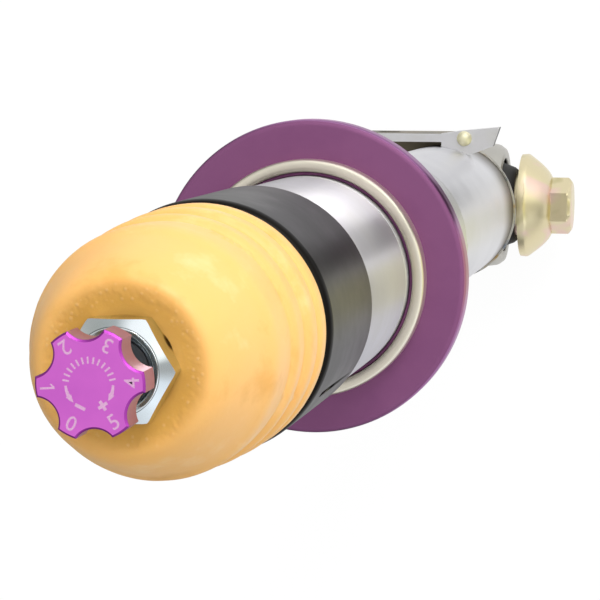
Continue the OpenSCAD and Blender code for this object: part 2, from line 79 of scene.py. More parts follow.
def linear(code: str) -> tuple[float, float, float, float]:
    """Turns an sRGB hex code into a linear colour.

    Args:
        code: six hex digits, with or without a leading hash.

    Returns:
        Linear red, green, blue and an alpha of one.
    """
    digits = code.lstrip("#")
    values = [int(digits[i : i + 2], 16) / 255 for i in (0, 2, 4)]
    red, green, blue = (v / 12.92 if v <= 0.04045 else ((v + 0.055) / 1.055) ** 2.4 for v in values)
    return red, green, blue, 1.0


def add_node(tree: Tree, kind: str, inputs: dict | None = None, **settings: object) -> Node:
    """Adds a node, sets its properties and fills or links its inputs.

    Args:
        tree: the node tree that gets the node.
        kind: the node's type name.
        inputs: input name or index to a value, or to the socket or node whose first output is linked to it.
        **settings: properties of the node itself.

    Returns:
        The new node.
    """
    node = tree.nodes.new(kind)
    for key, value in settings.items():
        setattr(node, key, value)
    for key, value in (inputs or {}).items():
        if isinstance(value, bpy.types.Node):
            value = value.outputs[0]
        if isinstance(value, bpy.types.NodeSocket):
            tree.links.new(value, node.inputs[key])
        else:
            node.inputs[key].default_value = value
    return node


def fill_ramp(ramp: Node, stops: Sequence[tuple[float, tuple[float, float, float, float]]]) -> None:
    """Gives a colour ramp its stops.

    Args:
        ramp: the ramp's node.
        stops: position and linear colour of each stop, in order.
    """
    points = ramp.color_ramp.elements
    while len(points) < len(stops):
        points.new(0.5)
    for point, (where, colour) in zip(points, stops):
        point.position = where
        point.color = colour


# --------------------------------------------------------------------------- finishes


@dataclass(frozen=True)
class Finish:
    """A surface finish: a name, its colour and the constants of its shader."""

    name: str
    colour: str
    roughness: float
    metallic: float = 1.0

    def material(self) -> bpy.types.Material:
        """Builds the finish once and hands out the same material after that.

        Returns:
            The node material of this finish.
        """
        known = bpy.data.materials.get(self.name)
        if known:
            return known
        made = bpy.data.materials.new(self.name)
        made.use_nodes = True
        tree = made.node_tree
        tree.nodes.clear()
        shader = add_node(
            tree,
            "ShaderNodeBsdfPrincipled",
            {"Base Color": linear(self.colour), "Metallic": self.metallic, "Roughness": self.roughness},
        )
        add_node(tree, "ShaderNodeOutputMaterial", {"Surface": shader})
        place = add_node(tree, "ShaderNodeTexCoord").outputs["Object"]
        self.dress(tree, shader, place)
        made.diffuse_color = linear(self.colour)
        return made

    def dress(self, tree: Tree, shader: Node, place: Socket) -> None:
        """Adds what sets the finish apart.

        Args:
            tree: the material's node tree.
            shader: its principled shader.
            place: the object coordinates, in metres.
        """

    def vary(
        self, tree: Tree, shader: Node, pattern: Socket | Node, span: tuple[float, float], change: tuple[float, float]
    ) -> None:
        """Lets a pattern drift the roughness round the finish's own.

        Args:
            tree: the material's node tree.
            shader: its principled shader.
            pattern: the pattern that drifts it.
            span: values of the pattern at which the drift starts and ends.
            change: what is added to the roughness at each of them.
        """
        low, high = span
        rough = add_node(
            tree,
            "ShaderNodeMapRange",
            {
                "Value": pattern,
                "From Min": low,
                "From Max": high,
                "To Min": self.roughness + change[0],
                "To Max": self.roughness + change[1],
            },
        )
        tree.links.new(rough.outputs[0], shader.inputs["Roughness"])

    def mix_in(
        self, tree: Tree, shader: Node, share: Socket | Node, mix_in: str, ground: Socket | Node | None = None
    ) -> Socket:
        """Mixes a second colour into the base colour.

        Args:
            tree: the material's node tree.
            shader: its principled shader.
            share: how much of the second colour shows.
            mix_in: hex code of the second colour.
            ground: what it is mixed into, where it isn't the finish's own colour.

        Returns:
            The mixed colour.
        """
        mixed = add_node(
            tree,
            "ShaderNodeMix",
            {"Factor": share, "A": linear(self.colour) if ground is None else ground, "B": linear(mix_in)},
            data_type="RGBA",
        )
        tree.links.new(mixed.outputs["Result"], shader.inputs["Base Color"])
        return mixed.outputs["Result"]

    def emboss(
        self,
        tree: Tree,
        shader: Node,
        height: Socket | Node,
        depth_mm: float,
        strength: float,
        under: Socket | None = None,
    ) -> Socket:
        """Raises a pattern on the surface.

        Args:
            tree: the material's node tree.
            shader: its principled shader.
            height: the pattern.
            depth_mm: its height.
            strength: share of it that shows.
            under: the relief that it lies on.

        Returns:
            The relief's normal.
        """
        inputs = {"Height": height, "Distance": depth_mm * MM, "Strength": strength}
        if under is not None:
            inputs["Normal"] = under
        bump = add_node(tree, "ShaderNodeBump", inputs)
        tree.links.new(bump.outputs[0], shader.inputs["Normal"])
        return bump.outputs[0]


@dataclass(frozen=True)
class TurnedMetal(Finish):
    """Metal cut or polished on a lathe: fine rings round its axis and soft cloudy wear."""

    axis: Axis = Axis.STRUT
    ring_mm: float = 0.25
    ring_depth: float = 0.002
    # wavelength of the clouds that handling and plating leave
    cloud_mm: float = 12.5
    spread: float = 0.0
    worn: str = ""
    worn_share: float = 0.25
    rough_spread: float = 0.08
    # heights between which the metal darkens to brown, and the brown
    brown_mm: tuple[float, float] = (0.0, 0.0)
    # height of the point that the brown spreads from, where it isn't the foot
    brown_centre: float = 0.0
    dark_brown: str = "#463b2b"

    def dress(self, tree: Tree, shader: Node, place: Socket) -> None:
        """Adds the rings as bump, the wear as colour and the smear of the reflections."""
        if self.axis is Axis.BOLT:
            place = add_node(tree, "ShaderNodeMapping", {"Vector": place, "Rotation": (0, math.pi / 2, 0)}).outputs[0]
        parts = add_node(tree, "ShaderNodeSeparateXYZ", {0: place})
        flat = add_node(tree, "ShaderNodeCombineXYZ", {0: parts, 1: parts.outputs[1]})
        radius = add_node(tree, "ShaderNodeVectorMath", {0: flat}, operation="LENGTH")
        rings = add_node(tree, "ShaderNodeCombineXYZ", {0: radius.outputs["Value"], 1: parts.outputs[2]})
        # one ring per ring_mm: the noise has a wavelength of 1 / scale metres
        cuts = add_node(
            tree,
            "ShaderNodeTexNoise",
            {"Vector": rings, "Scale": 1 / (self.ring_mm * MM), "Detail": 2.0, "Roughness": 0.6},
            noise_dimensions="2D",
        )
        self.emboss(tree, shader, cuts, self.ring_depth, 1.0)
        clouds = add_node(
            tree,
            "ShaderNodeTexNoise",
            {"Vector": place, "Scale": 1 / (self.cloud_mm * MM), "Detail": 4.0, "Roughness": 0.55},
        )
        half = self.rough_spread / 2
        self.vary(tree, shader, clouds, (0.35, 0.7), (-half, half))
        if self.worn:
            share = add_node(
                tree,
                "ShaderNodeMapRange",
                {"Value": clouds, "From Min": 0.4, "From Max": 0.75, "To Max": self.worn_share},
            )
            self.mix_in(tree, shader, share, self.worn)
        if self.brown_mm[1]:
            # the steel darkens to brown towards the lower height, or towards the given point
            low, high = self.brown_mm
            reach = parts.outputs[2]
            if self.brown_centre:
                reach = add_node(
                    tree,
                    "ShaderNodeVectorMath",
                    {0: place, 1: (0.0, 0.0, self.brown_centre * MM)},
                    operation="DISTANCE",
                ).outputs["Value"]
            discolour = add_node(
                tree,
                "ShaderNodeMapRange",
                {"Value": reach, "From Min": low * MM, "From Max": high * MM, "To Min": 1.0, "To Max": 0.0},
                interpolation_type="SMOOTHSTEP",
            )
            self.mix_in(tree, shader, discolour, self.dark_brown)
        if self.spread:
            shader.inputs["Anisotropic"].default_value = self.spread
            shader.inputs["Anisotropic Rotation"].default_value = 0.25
            around = "Z" if self.axis is Axis.STRUT else "X"
            tangent = add_node(tree, "ShaderNodeTangent", axis=around, direction_type="RADIAL")
            tree.links.new(tangent.outputs[0], shader.inputs["Tangent"])


@dataclass(frozen=True)
class PassivatedZinc(Finish):
    """Yellow chromate on zinc: gold that drifts to pink and green with the film's thickness."""

    pink: str = "#e6cbbd"
    green: str = "#b4ad78"
    # noise scale per metre of the film's patches, about 14 mm, and of the plating's grain, about 0.6 mm
    film_scale: float = 70.0
    grain_scale: float = 1800.0
    grain_depth: float = 0.012

    def dress(self, tree: Tree, shader: Node, place: Socket) -> None:
        """Drifts the colour over the film's patches and adds the grain of the plating."""
        film = add_node(
            tree,
            "ShaderNodeTexNoise",
            {"Vector": place, "Scale": self.film_scale, "Detail": 2.0, "Roughness": 0.5, "Distortion": 0.4},
        )
        ramp = add_node(tree, "ShaderNodeValToRGB", {"Fac": film})
        own = linear(self.colour)
        fill_ramp(ramp, ((0.3, linear(self.green)), (0.45, own), (0.56, own), (0.68, linear(self.pink))))
        tree.links.new(ramp.outputs[0], shader.inputs["Base Color"])
        grain = add_node(tree, "ShaderNodeTexNoise", {"Vector": place, "Scale": self.grain_scale, "Detail": 3.0})
        self.emboss(tree, shader, grain, self.grain_depth, 0.7)
        self.vary(tree, shader, film, (0.3, 0.7), (-0.06, 0.08))


@dataclass(frozen=True)
class FoamSkin(Finish):
    """Microcellular polyurethane: a waxy moulded skin over fine cells, darker where it is dense."""

    light: str = "#ffd9a0"
    dense: str = "#e2a54e"
    # painted shade in the dish round the nut
    dish_shade: str = "#d9a24a"
    cell_mm: float = 0.45
    cell_depth: float = 0.035
    # noise scale per metre of the drifting density, about 14 mm, and of the skin's waves, about 4 mm
    drift_scale: float = 70.0
    wave_scale: float = 260.0
    wave_depth: float = 0.12
    # size and height of the crumbs, the draw above which a cell becomes one, and how pale it is
    crumb_mm: float = 0.95
    crumb_depth: float = 0.06
    crumb_draw: float = 0.66
    crumb_pale: float = 0.34
    # the light that scatters under the skin, by colour, and how deep it goes
    scatter: tuple[float, float, float] = (1.0, 0.55, 0.22)
    scatter_mm: float = 0.7

    def dress(self, tree: Tree, shader: Node, place: Socket) -> None:
        """Adds cells, crumbs, drifting density, painted shade in the dish round the nut and light that scatters under
        the skin.
        """
        drift = add_node(
            tree, "ShaderNodeTexNoise", {"Vector": place, "Scale": self.drift_scale, "Detail": 5.0, "Roughness": 0.6}
        )
        tone = add_node(tree, "ShaderNodeValToRGB", {"Fac": drift})
        own = linear(self.colour)
        fill_ramp(tone, ((0.2, linear(self.dense)), (0.42, own), (0.56, own), (0.85, linear(self.light))))
        # painted shade: the dish round the nut is darkened to a deeper gold where it lies in shade
        painted_dish_shade = add_node(tree, "ShaderNodeAttribute", attribute_name="painted_dish_shade")
        deep = self.mix_in(tree, shader, painted_dish_shade.outputs["Fac"], self.dish_shade, tone)
        # on the dish's wall the mould left crumbs: one cell in three stands out pale
        marks = add_node(tree, "ShaderNodeAttribute", attribute_name="open_cells")
        crumbs = add_node(
            tree, "ShaderNodeTexVoronoi", {"Vector": place, "Scale": 1 / (self.crumb_mm * MM), "Randomness": 1.0}
        )
        crumb = add_node(
            tree,
            "ShaderNodeMapRange",
            {"Value": crumbs.outputs["Distance"], "From Min": 0.0, "From Max": 0.5, "To Min": 1.0, "To Max": 0.0},
        )
        lot = add_node(tree, "ShaderNodeSeparateColor", {0: crumbs.outputs["Color"]})
        drawn = add_node(tree, "ShaderNodeMath", {0: lot, 1: self.crumb_draw}, operation="GREATER_THAN")
        shown = crumb.outputs[0]
        for factor in (drawn.outputs[0], marks.outputs["Fac"]):
            shown = add_node(tree, "ShaderNodeMath", {0: shown, 1: factor}, operation="MULTIPLY").outputs[0]
        shade = add_node(tree, "ShaderNodeMath", {0: shown, 1: self.crumb_pale}, operation="MULTIPLY")
        self.mix_in(tree, shader, shade, self.light, deep)
        cells = add_node(
            tree,
            "ShaderNodeTexNoise",
            {"Vector": place, "Scale": 1 / (self.cell_mm * MM), "Detail": 3.0, "Roughness": 0.6},
        )
        waves = add_node(
            tree, "ShaderNodeTexNoise", {"Vector": place, "Scale": self.wave_scale, "Detail": 2.0, "Roughness": 0.5}
        )
        fine = self.emboss(tree, shader, cells, self.cell_depth, 0.8)
        broad = self.emboss(tree, shader, waves, self.wave_depth, 0.8, fine)
        self.emboss(tree, shader, shown, self.crumb_depth, 1.0, broad)
        constants = {
            "Subsurface Weight": 0.12,
            "Subsurface Radius": self.scatter,
            "Subsurface Scale": self.scatter_mm * MM,
            "Specular IOR Level": 0.32,
            "Sheen Weight": 0.06,
            "Sheen Roughness": 0.45,
        }
        for socket, value in constants.items():
            shader.inputs[socket].default_value = value


@dataclass(frozen=True)
class MouldedSkin(Finish):
    """Plastic or rubber from a spark-eroded mould: an even grain and a faint bloom."""

    grain_mm: float = 0.3
    grain_depth: float = 0.02
    bloom: str = "#3b3b3d"
    # noise scale per metre of the bloom's patches, about 15 mm
    bloom_scale: float = 65.0
    specular: float = 0.5

    def dress(self, tree: Tree, shader: Node, place: Socket) -> None:
        """Adds the grain as bump and the bloom as patches."""
        shader.inputs["Specular IOR Level"].default_value = self.specular
        grain = add_node(
            tree,
            "ShaderNodeTexNoise",
            {"Vector": place, "Scale": 1 / (self.grain_mm * MM), "Detail": 2.0, "Roughness": 0.6},
        )
        self.emboss(tree, shader, grain, self.grain_depth, 0.7)
        haze = add_node(
            tree, "ShaderNodeTexNoise", {"Vector": place, "Scale": self.bloom_scale, "Detail": 4.0, "Roughness": 0.6}
        )
        share = add_node(tree, "ShaderNodeMapRange", {"Value": haze, "From Min": 0.4, "From Max": 0.8, "To Max": 0.5})
        self.mix_in(tree, shader, share, self.bloom)
        self.vary(tree, shader, haze, (0.3, 0.7), (-0.05, 0.05))


@dataclass(frozen=True)
class EtchedMark(Finish):
    """Laser-etched mark: the dye is burnt off and frosted oxide is left."""

    left_dye: str = "#c486bd"
    speckle_mm: float = 0.2

    def dress(self, tree: Tree, shader: Node, place: Socket) -> None:
        """Breaks the mark up with the laser's fine speckle."""
        scale = 1 / (self.speckle_mm * MM)
        speckle = add_node(tree, "ShaderNodeTexNoise", {"Vector": place, "Scale": scale, "Detail": 2.0})
        self.mix_in(tree, shader, speckle, self.left_dye)


@dataclass(frozen=True)
class WeldedSteel(Finish):
    """Stainless weld bead: bright metal with straw and blue heat tint."""

    straw: str = "#a58a5c"
    blue: str = "#5d6a7d"
    tint_mm: float = 5.0
    # noise scale per metre of the crust on the bead, about 0.7 mm, and its height
    crust_scale: float = 1500.0
    crust_depth: float = 0.03

    def dress(self, tree: Tree, shader: Node, place: Socket) -> None:
        """Lays the heat tint in patches and roughens the bead."""
        scale = 1 / (self.tint_mm * MM)
        discolour = add_node(tree, "ShaderNodeTexNoise", {"Vector": place, "Scale": scale, "Detail": 3.0})
        ramp = add_node(tree, "ShaderNodeValToRGB", {"Fac": discolour})
        own = linear(self.colour)
        fill_ramp(ramp, ((0.3, linear(self.blue)), (0.44, own), (0.56, own), (0.7, linear(self.straw))))
        tree.links.new(ramp.outputs[0], shader.inputs["Base Color"])
        crust = add_node(tree, "ShaderNodeTexNoise", {"Vector": place, "Scale": self.crust_scale, "Detail": 2.0})
        self.emboss(tree, shader, crust, self.crust_depth, 0.8)


# polished 304 tube: the belt's lines smear its pale reflections along the strut
STAINLESS = TurnedMetal(
    "stainless_polished", "#d2d0d4", 0.5, ring_mm=0.4, ring_depth=0.0015, spread=0.95, worn="#c2beb4"
)
# the lower tube is left as drawn: satin and paler
STAINLESS_SATIN = TurnedMetal(
    "stainless_satin", "#d0d0d4", 0.36, ring_mm=0.5, ring_depth=0.003, spread=0.4, brown_mm=(34.0, 64.0)
)
# rolled thread in the same steel: brighter crests, a little duller than the polished part
STAINLESS_THREAD = TurnedMetal("stainless_rolled_thread", "#dcdcde", 0.55, ring_mm=0.3, ring_depth=0.002)
# brushed weldment at the foot
STAINLESS_BRUSHED = TurnedMetal(
    "stainless_brushed",
    "#b8b6b0",
    0.42,
    axis=Axis.BOLT,
    ring_mm=0.35,
    ring_depth=0.006,
    brown_mm=(14.0, 20.0),
    brown_centre=26.0,
    dark_brown="#352c20",
)
# bright zinc over turned steel: cool white with sharp highlights
ZINC = TurnedMetal("zinc_bright", "#dfe6ea", 0.13, ring_mm=0.3, ring_depth=0.004, worn="#b9c4bd", worn_share=0.4)
# yellow chromate over zinc: gold with pink and green drift
YELLOW_ZINC = PassivatedZinc("zinc_yellow_passivated", "#dfd3ae", 0.32)
# painted highlight: the rivet gets a pale, frosted copy of the yellow film
YELLOW_RIVET_HIGHLIGHT = PassivatedZinc("zinc_yellow_rivet_painted_highlight", "#f6f1d2", 0.55, pink="#f8f2e2", green="#e8e4ba")
# painted shade: the pressed sheet gets a dull, nearly olive copy of the yellow film
YELLOW_SHEET_SHADE = PassivatedZinc("zinc_yellow_sheet_painted_shade", "#7c7462", 0.5, pink="#a0968a", green="#5c5848")
# painted light: the ear of the same sheet gets a pale, near white copy of it
PALE_SHEET_LIT = TurnedMetal("zinc_sheet_painted_light", "#e2e2e4", 0.45, ring_mm=0.5, ring_depth=0.003, worn="#bdbba8")
# ground and hard-chromed rod: almost a mirror
CHROME = TurnedMetal("chrome_ground", "#dadbde", 0.07, ring_mm=0.2, ring_depth=0.0005, rough_spread=0.04)
# polished aluminium ring with a warm cast
POLISHED_RING = TurnedMetal("aluminium_polished", "#ece5d4", 0.4, ring_mm=0.35, ring_depth=0.002)
# violet anodised and bead-blasted aluminium: satin, deep colour
VIOLET = TurnedMetal(
    "aluminium_violet_anodised",
    "#864f7b",
    0.6,
    metallic=0.45,
    ring_mm=0.3,
    ring_depth=0.003,
    worn="#7c4674",
    worn_share=0.5,
)
# painted highlight: the polished rim is smoother and painted a paler violet
VIOLET_RIM_HIGHLIGHT = TurnedMetal("aluminium_violet_rim_painted_highlight", "#b27cae", 0.4, ring_mm=0.3, ring_depth=0.002)
# bright-dipped before it was dyed: a clean glossy magenta violet with turning rings
BRIGHT_VIOLET = TurnedMetal(
    "aluminium_bright_violet", "#f27cec", 0.3, ring_mm=0.35, ring_depth=0.004, worn="#da6cdc", worn_share=0.6
)
# painted shade: the knob's milled flanks get a darker, browner copy of the violet
VIOLET_FLANK_SHADE = TurnedMetal("aluminium_violet_flank_painted_shade", "#b28092", 0.4, ring_mm=0.3, ring_depth=0.003)
# painted shade: the bevel gets a darker copy of the violet, for the dark outline round the top
VIOLET_EDGE_SHADE = TurnedMetal("aluminium_violet_edge_painted_shade", "#ae48b0", 0.5, ring_mm=0.3, ring_depth=0.003)
# cut, not coated: even grey with fine rings
MACHINED = TurnedMetal("aluminium_machined", "#a8abb0", 0.32, ring_mm=0.3, ring_depth=0.004)
# phosphated steel; the same finish paints shade into the nut's threaded bore
DARK_STEEL_AND_SHADE = TurnedMetal("steel_phosphated_and_painted_shade", "#64666a", 0.5, ring_mm=0.5, ring_depth=0.004)
SPRING_STEEL = TurnedMetal("steel_spring", "#a9acb1", 0.3, ring_mm=0.3, ring_depth=0.002)
BRONZE = TurnedMetal("bronze_sintered", "#a9834e", 0.38, ring_mm=0.3, ring_depth=0.004)
# moulded cap in satin black: a soft sheen with a barely visible grain
BLACK_CAP = MouldedSkin(
    "plastic_satin_black",
    "#262625",
    0.39,
    metallic=0.0,
    grain_mm=0.5,
    grain_depth=0.006,
    bloom="#282828",
    specular=0.55,
)
# painted shade: the rolled front of the cap, next to the foam, gets a darker, warmer black than the rest
BLACK_ROLL_SHADE = MouldedSkin("plastic_black_roll_painted_shade", "#0a0806", 0.3, metallic=0.0, bloom="#120e0a", specular=0.12)
# bush and seals: matt, with a grey bloom
BLACK_RUBBER = MouldedSkin("rubber_black", "#171616", 0.62, metallic=0.0, grain_mm=0.4, bloom="#2a2826")
BAND_PLASTIC = MouldedSkin("plastic_band_green", "#38503f", 0.5, metallic=0.0, bloom="#4a5d50")
# moulded microcellular foam: waxy yellow-tan
FOAM = FoamSkin("foam_microcellular", "#f6bd6f", 0.45, metallic=0.0)
MARK = EtchedMark("anodising_etched", "#e2b8d8", 0.6, metallic=0.0)
WELD = WeldedSteel("stainless_weld", "#aaa79f", 0.33)


# --------------------------------------------------------------------------- mesh helpers


# edges bent more than this many degrees stay sharp
SHARP_DEG = 32.0
# distance in mm of the points that guard a fillet, which keeps the flats beside it flat
GUARD = 0.12
# segments of a rolled edge
ROLL_SEGMENTS = 3
# distance in metres under which two points of a mesh are one
WELD_DIST = 1e-7


def rounded(corners: Sequence[Corner], steps: int = 4) -> list[tuple[float, float]]:
    """Rounds a closed profile's corners and guards each fillet with a close point on either side.

    Args:
        corners: the profile in order, in millimetres.
        steps: segments of one fillet.

    Returns:
        Radius and height of each point.
    """
    points: list[tuple[float, float]] = []
    count = len(corners)
    for index, corner in enumerate(corners):
        here = Vector((corner.r, corner.h))
        if corner.fillet <= 0:
            points.append((here.x, here.y))
            continue
        before = corners[index - 1]
        after = corners[(index + 1) % count]
        back = (Vector((before.r, before.h)) - here).normalized()
        ahead = (Vector((after.r, after.h)) - here).normalized()
        half = back.angle(ahead) / 2
        reach = corner.fillet / math.tan(half)
        centre = here + (back + ahead).normalized() * corner.fillet / math.sin(half)
        first = here + back * reach - centre
        last = here + ahead * reach - centre
        turn = math.pi - 2 * half
        guard_in = here + back * (reach + GUARD)
        points.append((guard_in.x, guard_in.y))
        for step in range(steps + 1):
            share = step / steps
            spoke = (first * math.sin((1 - share) * turn) + last * math.sin(share * turn)) / math.sin(turn)
            points.append(tuple(centre + spoke))
        guard_out = here + ahead * (reach + GUARD)
        points.append((guard_out.x, guard_out.y))
    return points


def object_from(name: str, mesh: BMesh, finish: Finish, sharp_deg: float = SHARP_DEG) -> Piece:
    """Makes a shaded object of a bmesh.

    Args:
        name: the object's name.
        mesh: the geometry in metres, which is freed.
        finish: its finish.
        sharp_deg: edges bent more than this stay sharp.

    Returns:
        The linked object at the origin.
    """
    bmesh.ops.remove_doubles(mesh, verts=mesh.verts, dist=WELD_DIST)
    bmesh.ops.recalc_face_normals(mesh, faces=mesh.faces)
    data = bpy.data.meshes.new(name)
    mesh.to_mesh(data)
    mesh.free()
    return shaded(name, data, finish, sharp_deg)


def shaded(name: str, data: bpy.types.Mesh, finish: Finish, sharp_deg: float = SHARP_DEG) -> Piece:
    """Links a mesh as an object with smooth shading between its sharp edges.

    Args:
        name: the object's name.
        data: its mesh.
        finish: its finish.
        sharp_deg: edges bent more than this stay sharp.

    Returns:
        The linked object at the origin.
    """
    data.name = name
    data.materials.clear()
    data.materials.append(finish.material())
    data.shade_smooth()
    data.set_sharp_from_angle(angle=math.radians(sharp_deg))
    made = bpy.data.objects.new(name, data)
    bpy.context.scene.collection.objects.link(made)
    return made


def turned(
    name: str, profile: Sequence[tuple[float, float]], finish: Finish, axis: Axis = Axis.STRUT, segments: int = 160
) -> Piece:
    """Turns a closed profile round an axis.

    Args:
        name: the object's name.
        profile: radius and height of each point, in millimetres.
        finish: its finish.
        axis: what the piece is turned round.
        segments: facets round the axis.

    Returns:
        A closed solid of revolution.
    """
    mesh = bmesh.new()
    rows = []
    for step in range(segments):
        angle = 2 * math.pi * step / segments
        row = []
        for r, h in profile:
            x, y, z = r * MM * math.cos(angle), r * MM * math.sin(angle), h * MM
            row.append(mesh.verts.new((x, y, z) if axis is Axis.STRUT else (z, y, -x)))
        rows.append(row)
    count = len(profile)
    for step, row in enumerate(rows):
        other = rows[(step + 1) % segments]
        for index in range(count):
            following = (index + 1) % count
            if profile[index][0] <= 1e-6 and profile[following][0] <= 1e-6:
                continue
            mesh.faces.new((row[index], other[index], other[following], row[following]))
    return object_from(name, mesh, finish)


def prism(mesh: BMesh, loops: Sequence[Sequence[tuple[float, float, float]]]) -> None:
    """Joins matching loops of points into a closed skin.

    Args:
        mesh: the bmesh that gets the faces.
        loops: loops of equal length, in millimetres, from one end to the other.
    """
    rings = [[mesh.verts.new(Vector(point) * MM) for point in loop] for loop in loops]
    for low, high in zip(rings, rings[1:]):
        for index in range(len(low)):
            following = (index + 1) % len(low)
            mesh.faces.new((low[index], low[following], high[following], high[index]))
    mesh.faces.new(rings[0])
    mesh.faces.new(rings[-1])


def softened(name: str, node: str, finish: Finish, width: float) -> Piece:
    """Copies a solid of the frame, joins its triangles into faces and rolls its edges.

    Args:
        name: the new object's name.
        node: the solid's name in the frame.
        finish: its finish.
        width: the width of the rolled edge, in millimetres.

    Returns:
        The finished copy as a plain mesh.
    """
    mesh = bmesh.new()
    mesh.from_mesh(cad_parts[node].data)
    bmesh.ops.remove_doubles(mesh, verts=mesh.verts, dist=2e-6)
    bmesh.ops.dissolve_limit(mesh, angle_limit=math.radians(1.0), verts=mesh.verts, edges=mesh.edges)
    made = object_from(name, mesh, finish)
    bevel = made.modifiers.new("roll", "BEVEL")
    bevel.width = width * MM
    bevel.segments = ROLL_SEGMENTS
    bevel.limit_method = "ANGLE"
    bevel.angle_limit = math.radians(SHARP_DEG)
    bevel.harden_normals = True
    return plain(made)


def plain(piece: Piece) -> Piece:
    """Bakes a piece's modifiers into its mesh.

    Args:
        piece: an object with live modifiers.

    Returns:
        The same object with none.
    """
    bpy.context.view_layer.update()
    graph = bpy.context.evaluated_depsgraph_get()
    baked = bpy.data.meshes.new_from_object(piece.evaluated_get(graph), depsgraph=graph)
    old = piece.data
    piece.modifiers.clear()
    piece.data = baked
    bpy.data.meshes.remove(old)
    baked.name = piece.name
    return piece


def grown(
    name: str, tree: Tree, values: dict[str, object], finish: Finish, base: bpy.types.Mesh | None = None
) -> Piece:
    """Runs a Geometry Nodes tree once and keeps its result as a plain mesh.

    Args:
        name: the object's name.
        tree: the geometry tree.
        values: the tree's inputs by their names.
        finish: handed to the tree's Finish input.
        base: the mesh that the tree starts from.

    Returns:
        The plain object.
    """
    piece = bpy.data.objects.new(name, base or bpy.data.meshes.new(name))
    bpy.context.scene.collection.objects.link(piece)
    modifier = piece.modifiers.new("grow", "NODES")
    modifier.node_group = tree
    wanted = dict(values, Finish=finish.material())
    for item in tree.interface.items_tree:
        if item.item_type == "SOCKET" and item.in_out == "INPUT" and item.name in wanted:
            modifier[item.identifier] = wanted[item.name]
    return plain(piece)


def new_tree(name: str, inputs: dict[str, tuple[str, object]]) -> tuple[Tree, Node]:
    """Starts a geometry tree with named inputs.

    Args:
        name: the tree's name.
        inputs: input name to its socket type and default.

    Returns:
        The tree and its group input node.
    """
    tree = bpy.data.node_groups.new(name, "GeometryNodeTree")
    tree.interface.new_socket("Geometry", in_out="INPUT", socket_type="NodeSocketGeometry")
    for label, (kind, value) in inputs.items():
        socket = tree.interface.new_socket(label, in_out="INPUT", socket_type=kind)
        if value is not None:
            socket.default_value = value
    tree.interface.new_socket("Finish", in_out="INPUT", socket_type="NodeSocketMaterial")
    tree.interface.new_socket("Geometry", in_out="OUTPUT", socket_type="NodeSocketGeometry")
    return tree, add_node(tree, "NodeGroupInput")


def end_tree(tree: Tree, start: Node, shape: Socket | Node) -> Tree:
    """Ends a geometry tree in real geometry with its material.

    Args:
        tree: the geometry tree.
        start: its group input.
        shape: the socket with the finished shape.

    Returns:
        The same tree.
    """
    real = add_node(tree, "GeometryNodeRealizeInstances", {0: shape})
    coated = add_node(tree, "GeometryNodeSetMaterial", {"Geometry": real, "Material": start.outputs["Finish"]})
    add_node(tree, "NodeGroupOutput", {0: coated})
    return tree


def thread_tree() -> Tree:
    """A thread ridge that winds up a cylinder and runs out at both ends.

    Returns:
        The geometry tree.
    """
    tree, start = new_tree(
        "thread_ridge",
        {
            "Radius": ("NodeSocketFloat", 0.0255),
            "Low": ("NodeSocketFloat", 0.135),
            "Length": ("NodeSocketFloat", 0.14),
            "Pitch": ("NodeSocketFloat", 0.0025),
            "Depth": ("NodeSocketFloat", 0.0005),
            "Root": ("NodeSocketFloat", 0.0016),
            "Crest": ("NodeSocketFloat", 0.0008),
            "Facets": ("NodeSocketInt", 72),
        },
    )
    put = start.outputs
    turns = add_node(tree, "ShaderNodeMath", {0: put["Length"], 1: put["Pitch"]}, operation="DIVIDE")
    spiral = add_node(
        tree,
        "GeometryNodeCurveSpiral",
        {
            "Resolution": put["Facets"],
            "Rotations": turns,
            "Start Radius": put["Radius"],
            "End Radius": put["Radius"],
            "Height": put["Length"],
        },
    )
    low = add_node(tree, "ShaderNodeCombineXYZ", {2: put["Low"]})
    lifted = add_node(tree, "GeometryNodeTransform", {"Geometry": spiral, "Translation": low})
    upright = add_node(tree, "GeometryNodeSetCurveNormal", {0: lifted}, mode="Z_UP")
    # the ridge grows over its first turn and fades over its last one
    along = add_node(tree, "GeometryNodeSplineParameter")
    rise = add_node(
        tree, "ShaderNodeMath", {0: along.outputs["Factor"], 1: turns}, operation="MULTIPLY", use_clamp=True
    )
    rest = add_node(tree, "ShaderNodeMath", {0: 1.0, 1: along.outputs["Factor"]}, operation="SUBTRACT")
    fall = add_node(tree, "ShaderNodeMath", {0: rest, 1: turns}, operation="MULTIPLY", use_clamp=True)
    both = add_node(tree, "ShaderNodeMath", {0: rise, 1: fall}, operation="MINIMUM")
    fade = add_node(tree, "ShaderNodeMath", {0: both, 1: 0.05}, operation="MAXIMUM")
    sized = add_node(tree, "GeometryNodeSetCurveRadius", {"Curve": upright, "Radius": fade})
    height = add_node(tree, "ShaderNodeMath", {0: put["Depth"], 1: 2.0}, operation="MULTIPLY")
    section = add_node(
        tree,
        "GeometryNodeCurvePrimitiveQuadrilateral",
        {"Bottom Width": put["Root"], "Top Width": put["Crest"], "Offset": 0.0, "Height": height},
        mode="TRAPEZOID",
    )
    turned_section = add_node(
        tree, "GeometryNodeTransform", {"Geometry": section, "Rotation": (0.0, 0.0, math.pi / 2)}
    )
    ridge = add_node(
        tree, "GeometryNodeCurveToMesh", {"Curve": sized, "Profile Curve": turned_section, "Fill Caps": True}
    )
    return end_tree(tree, start, ridge.outputs[0])


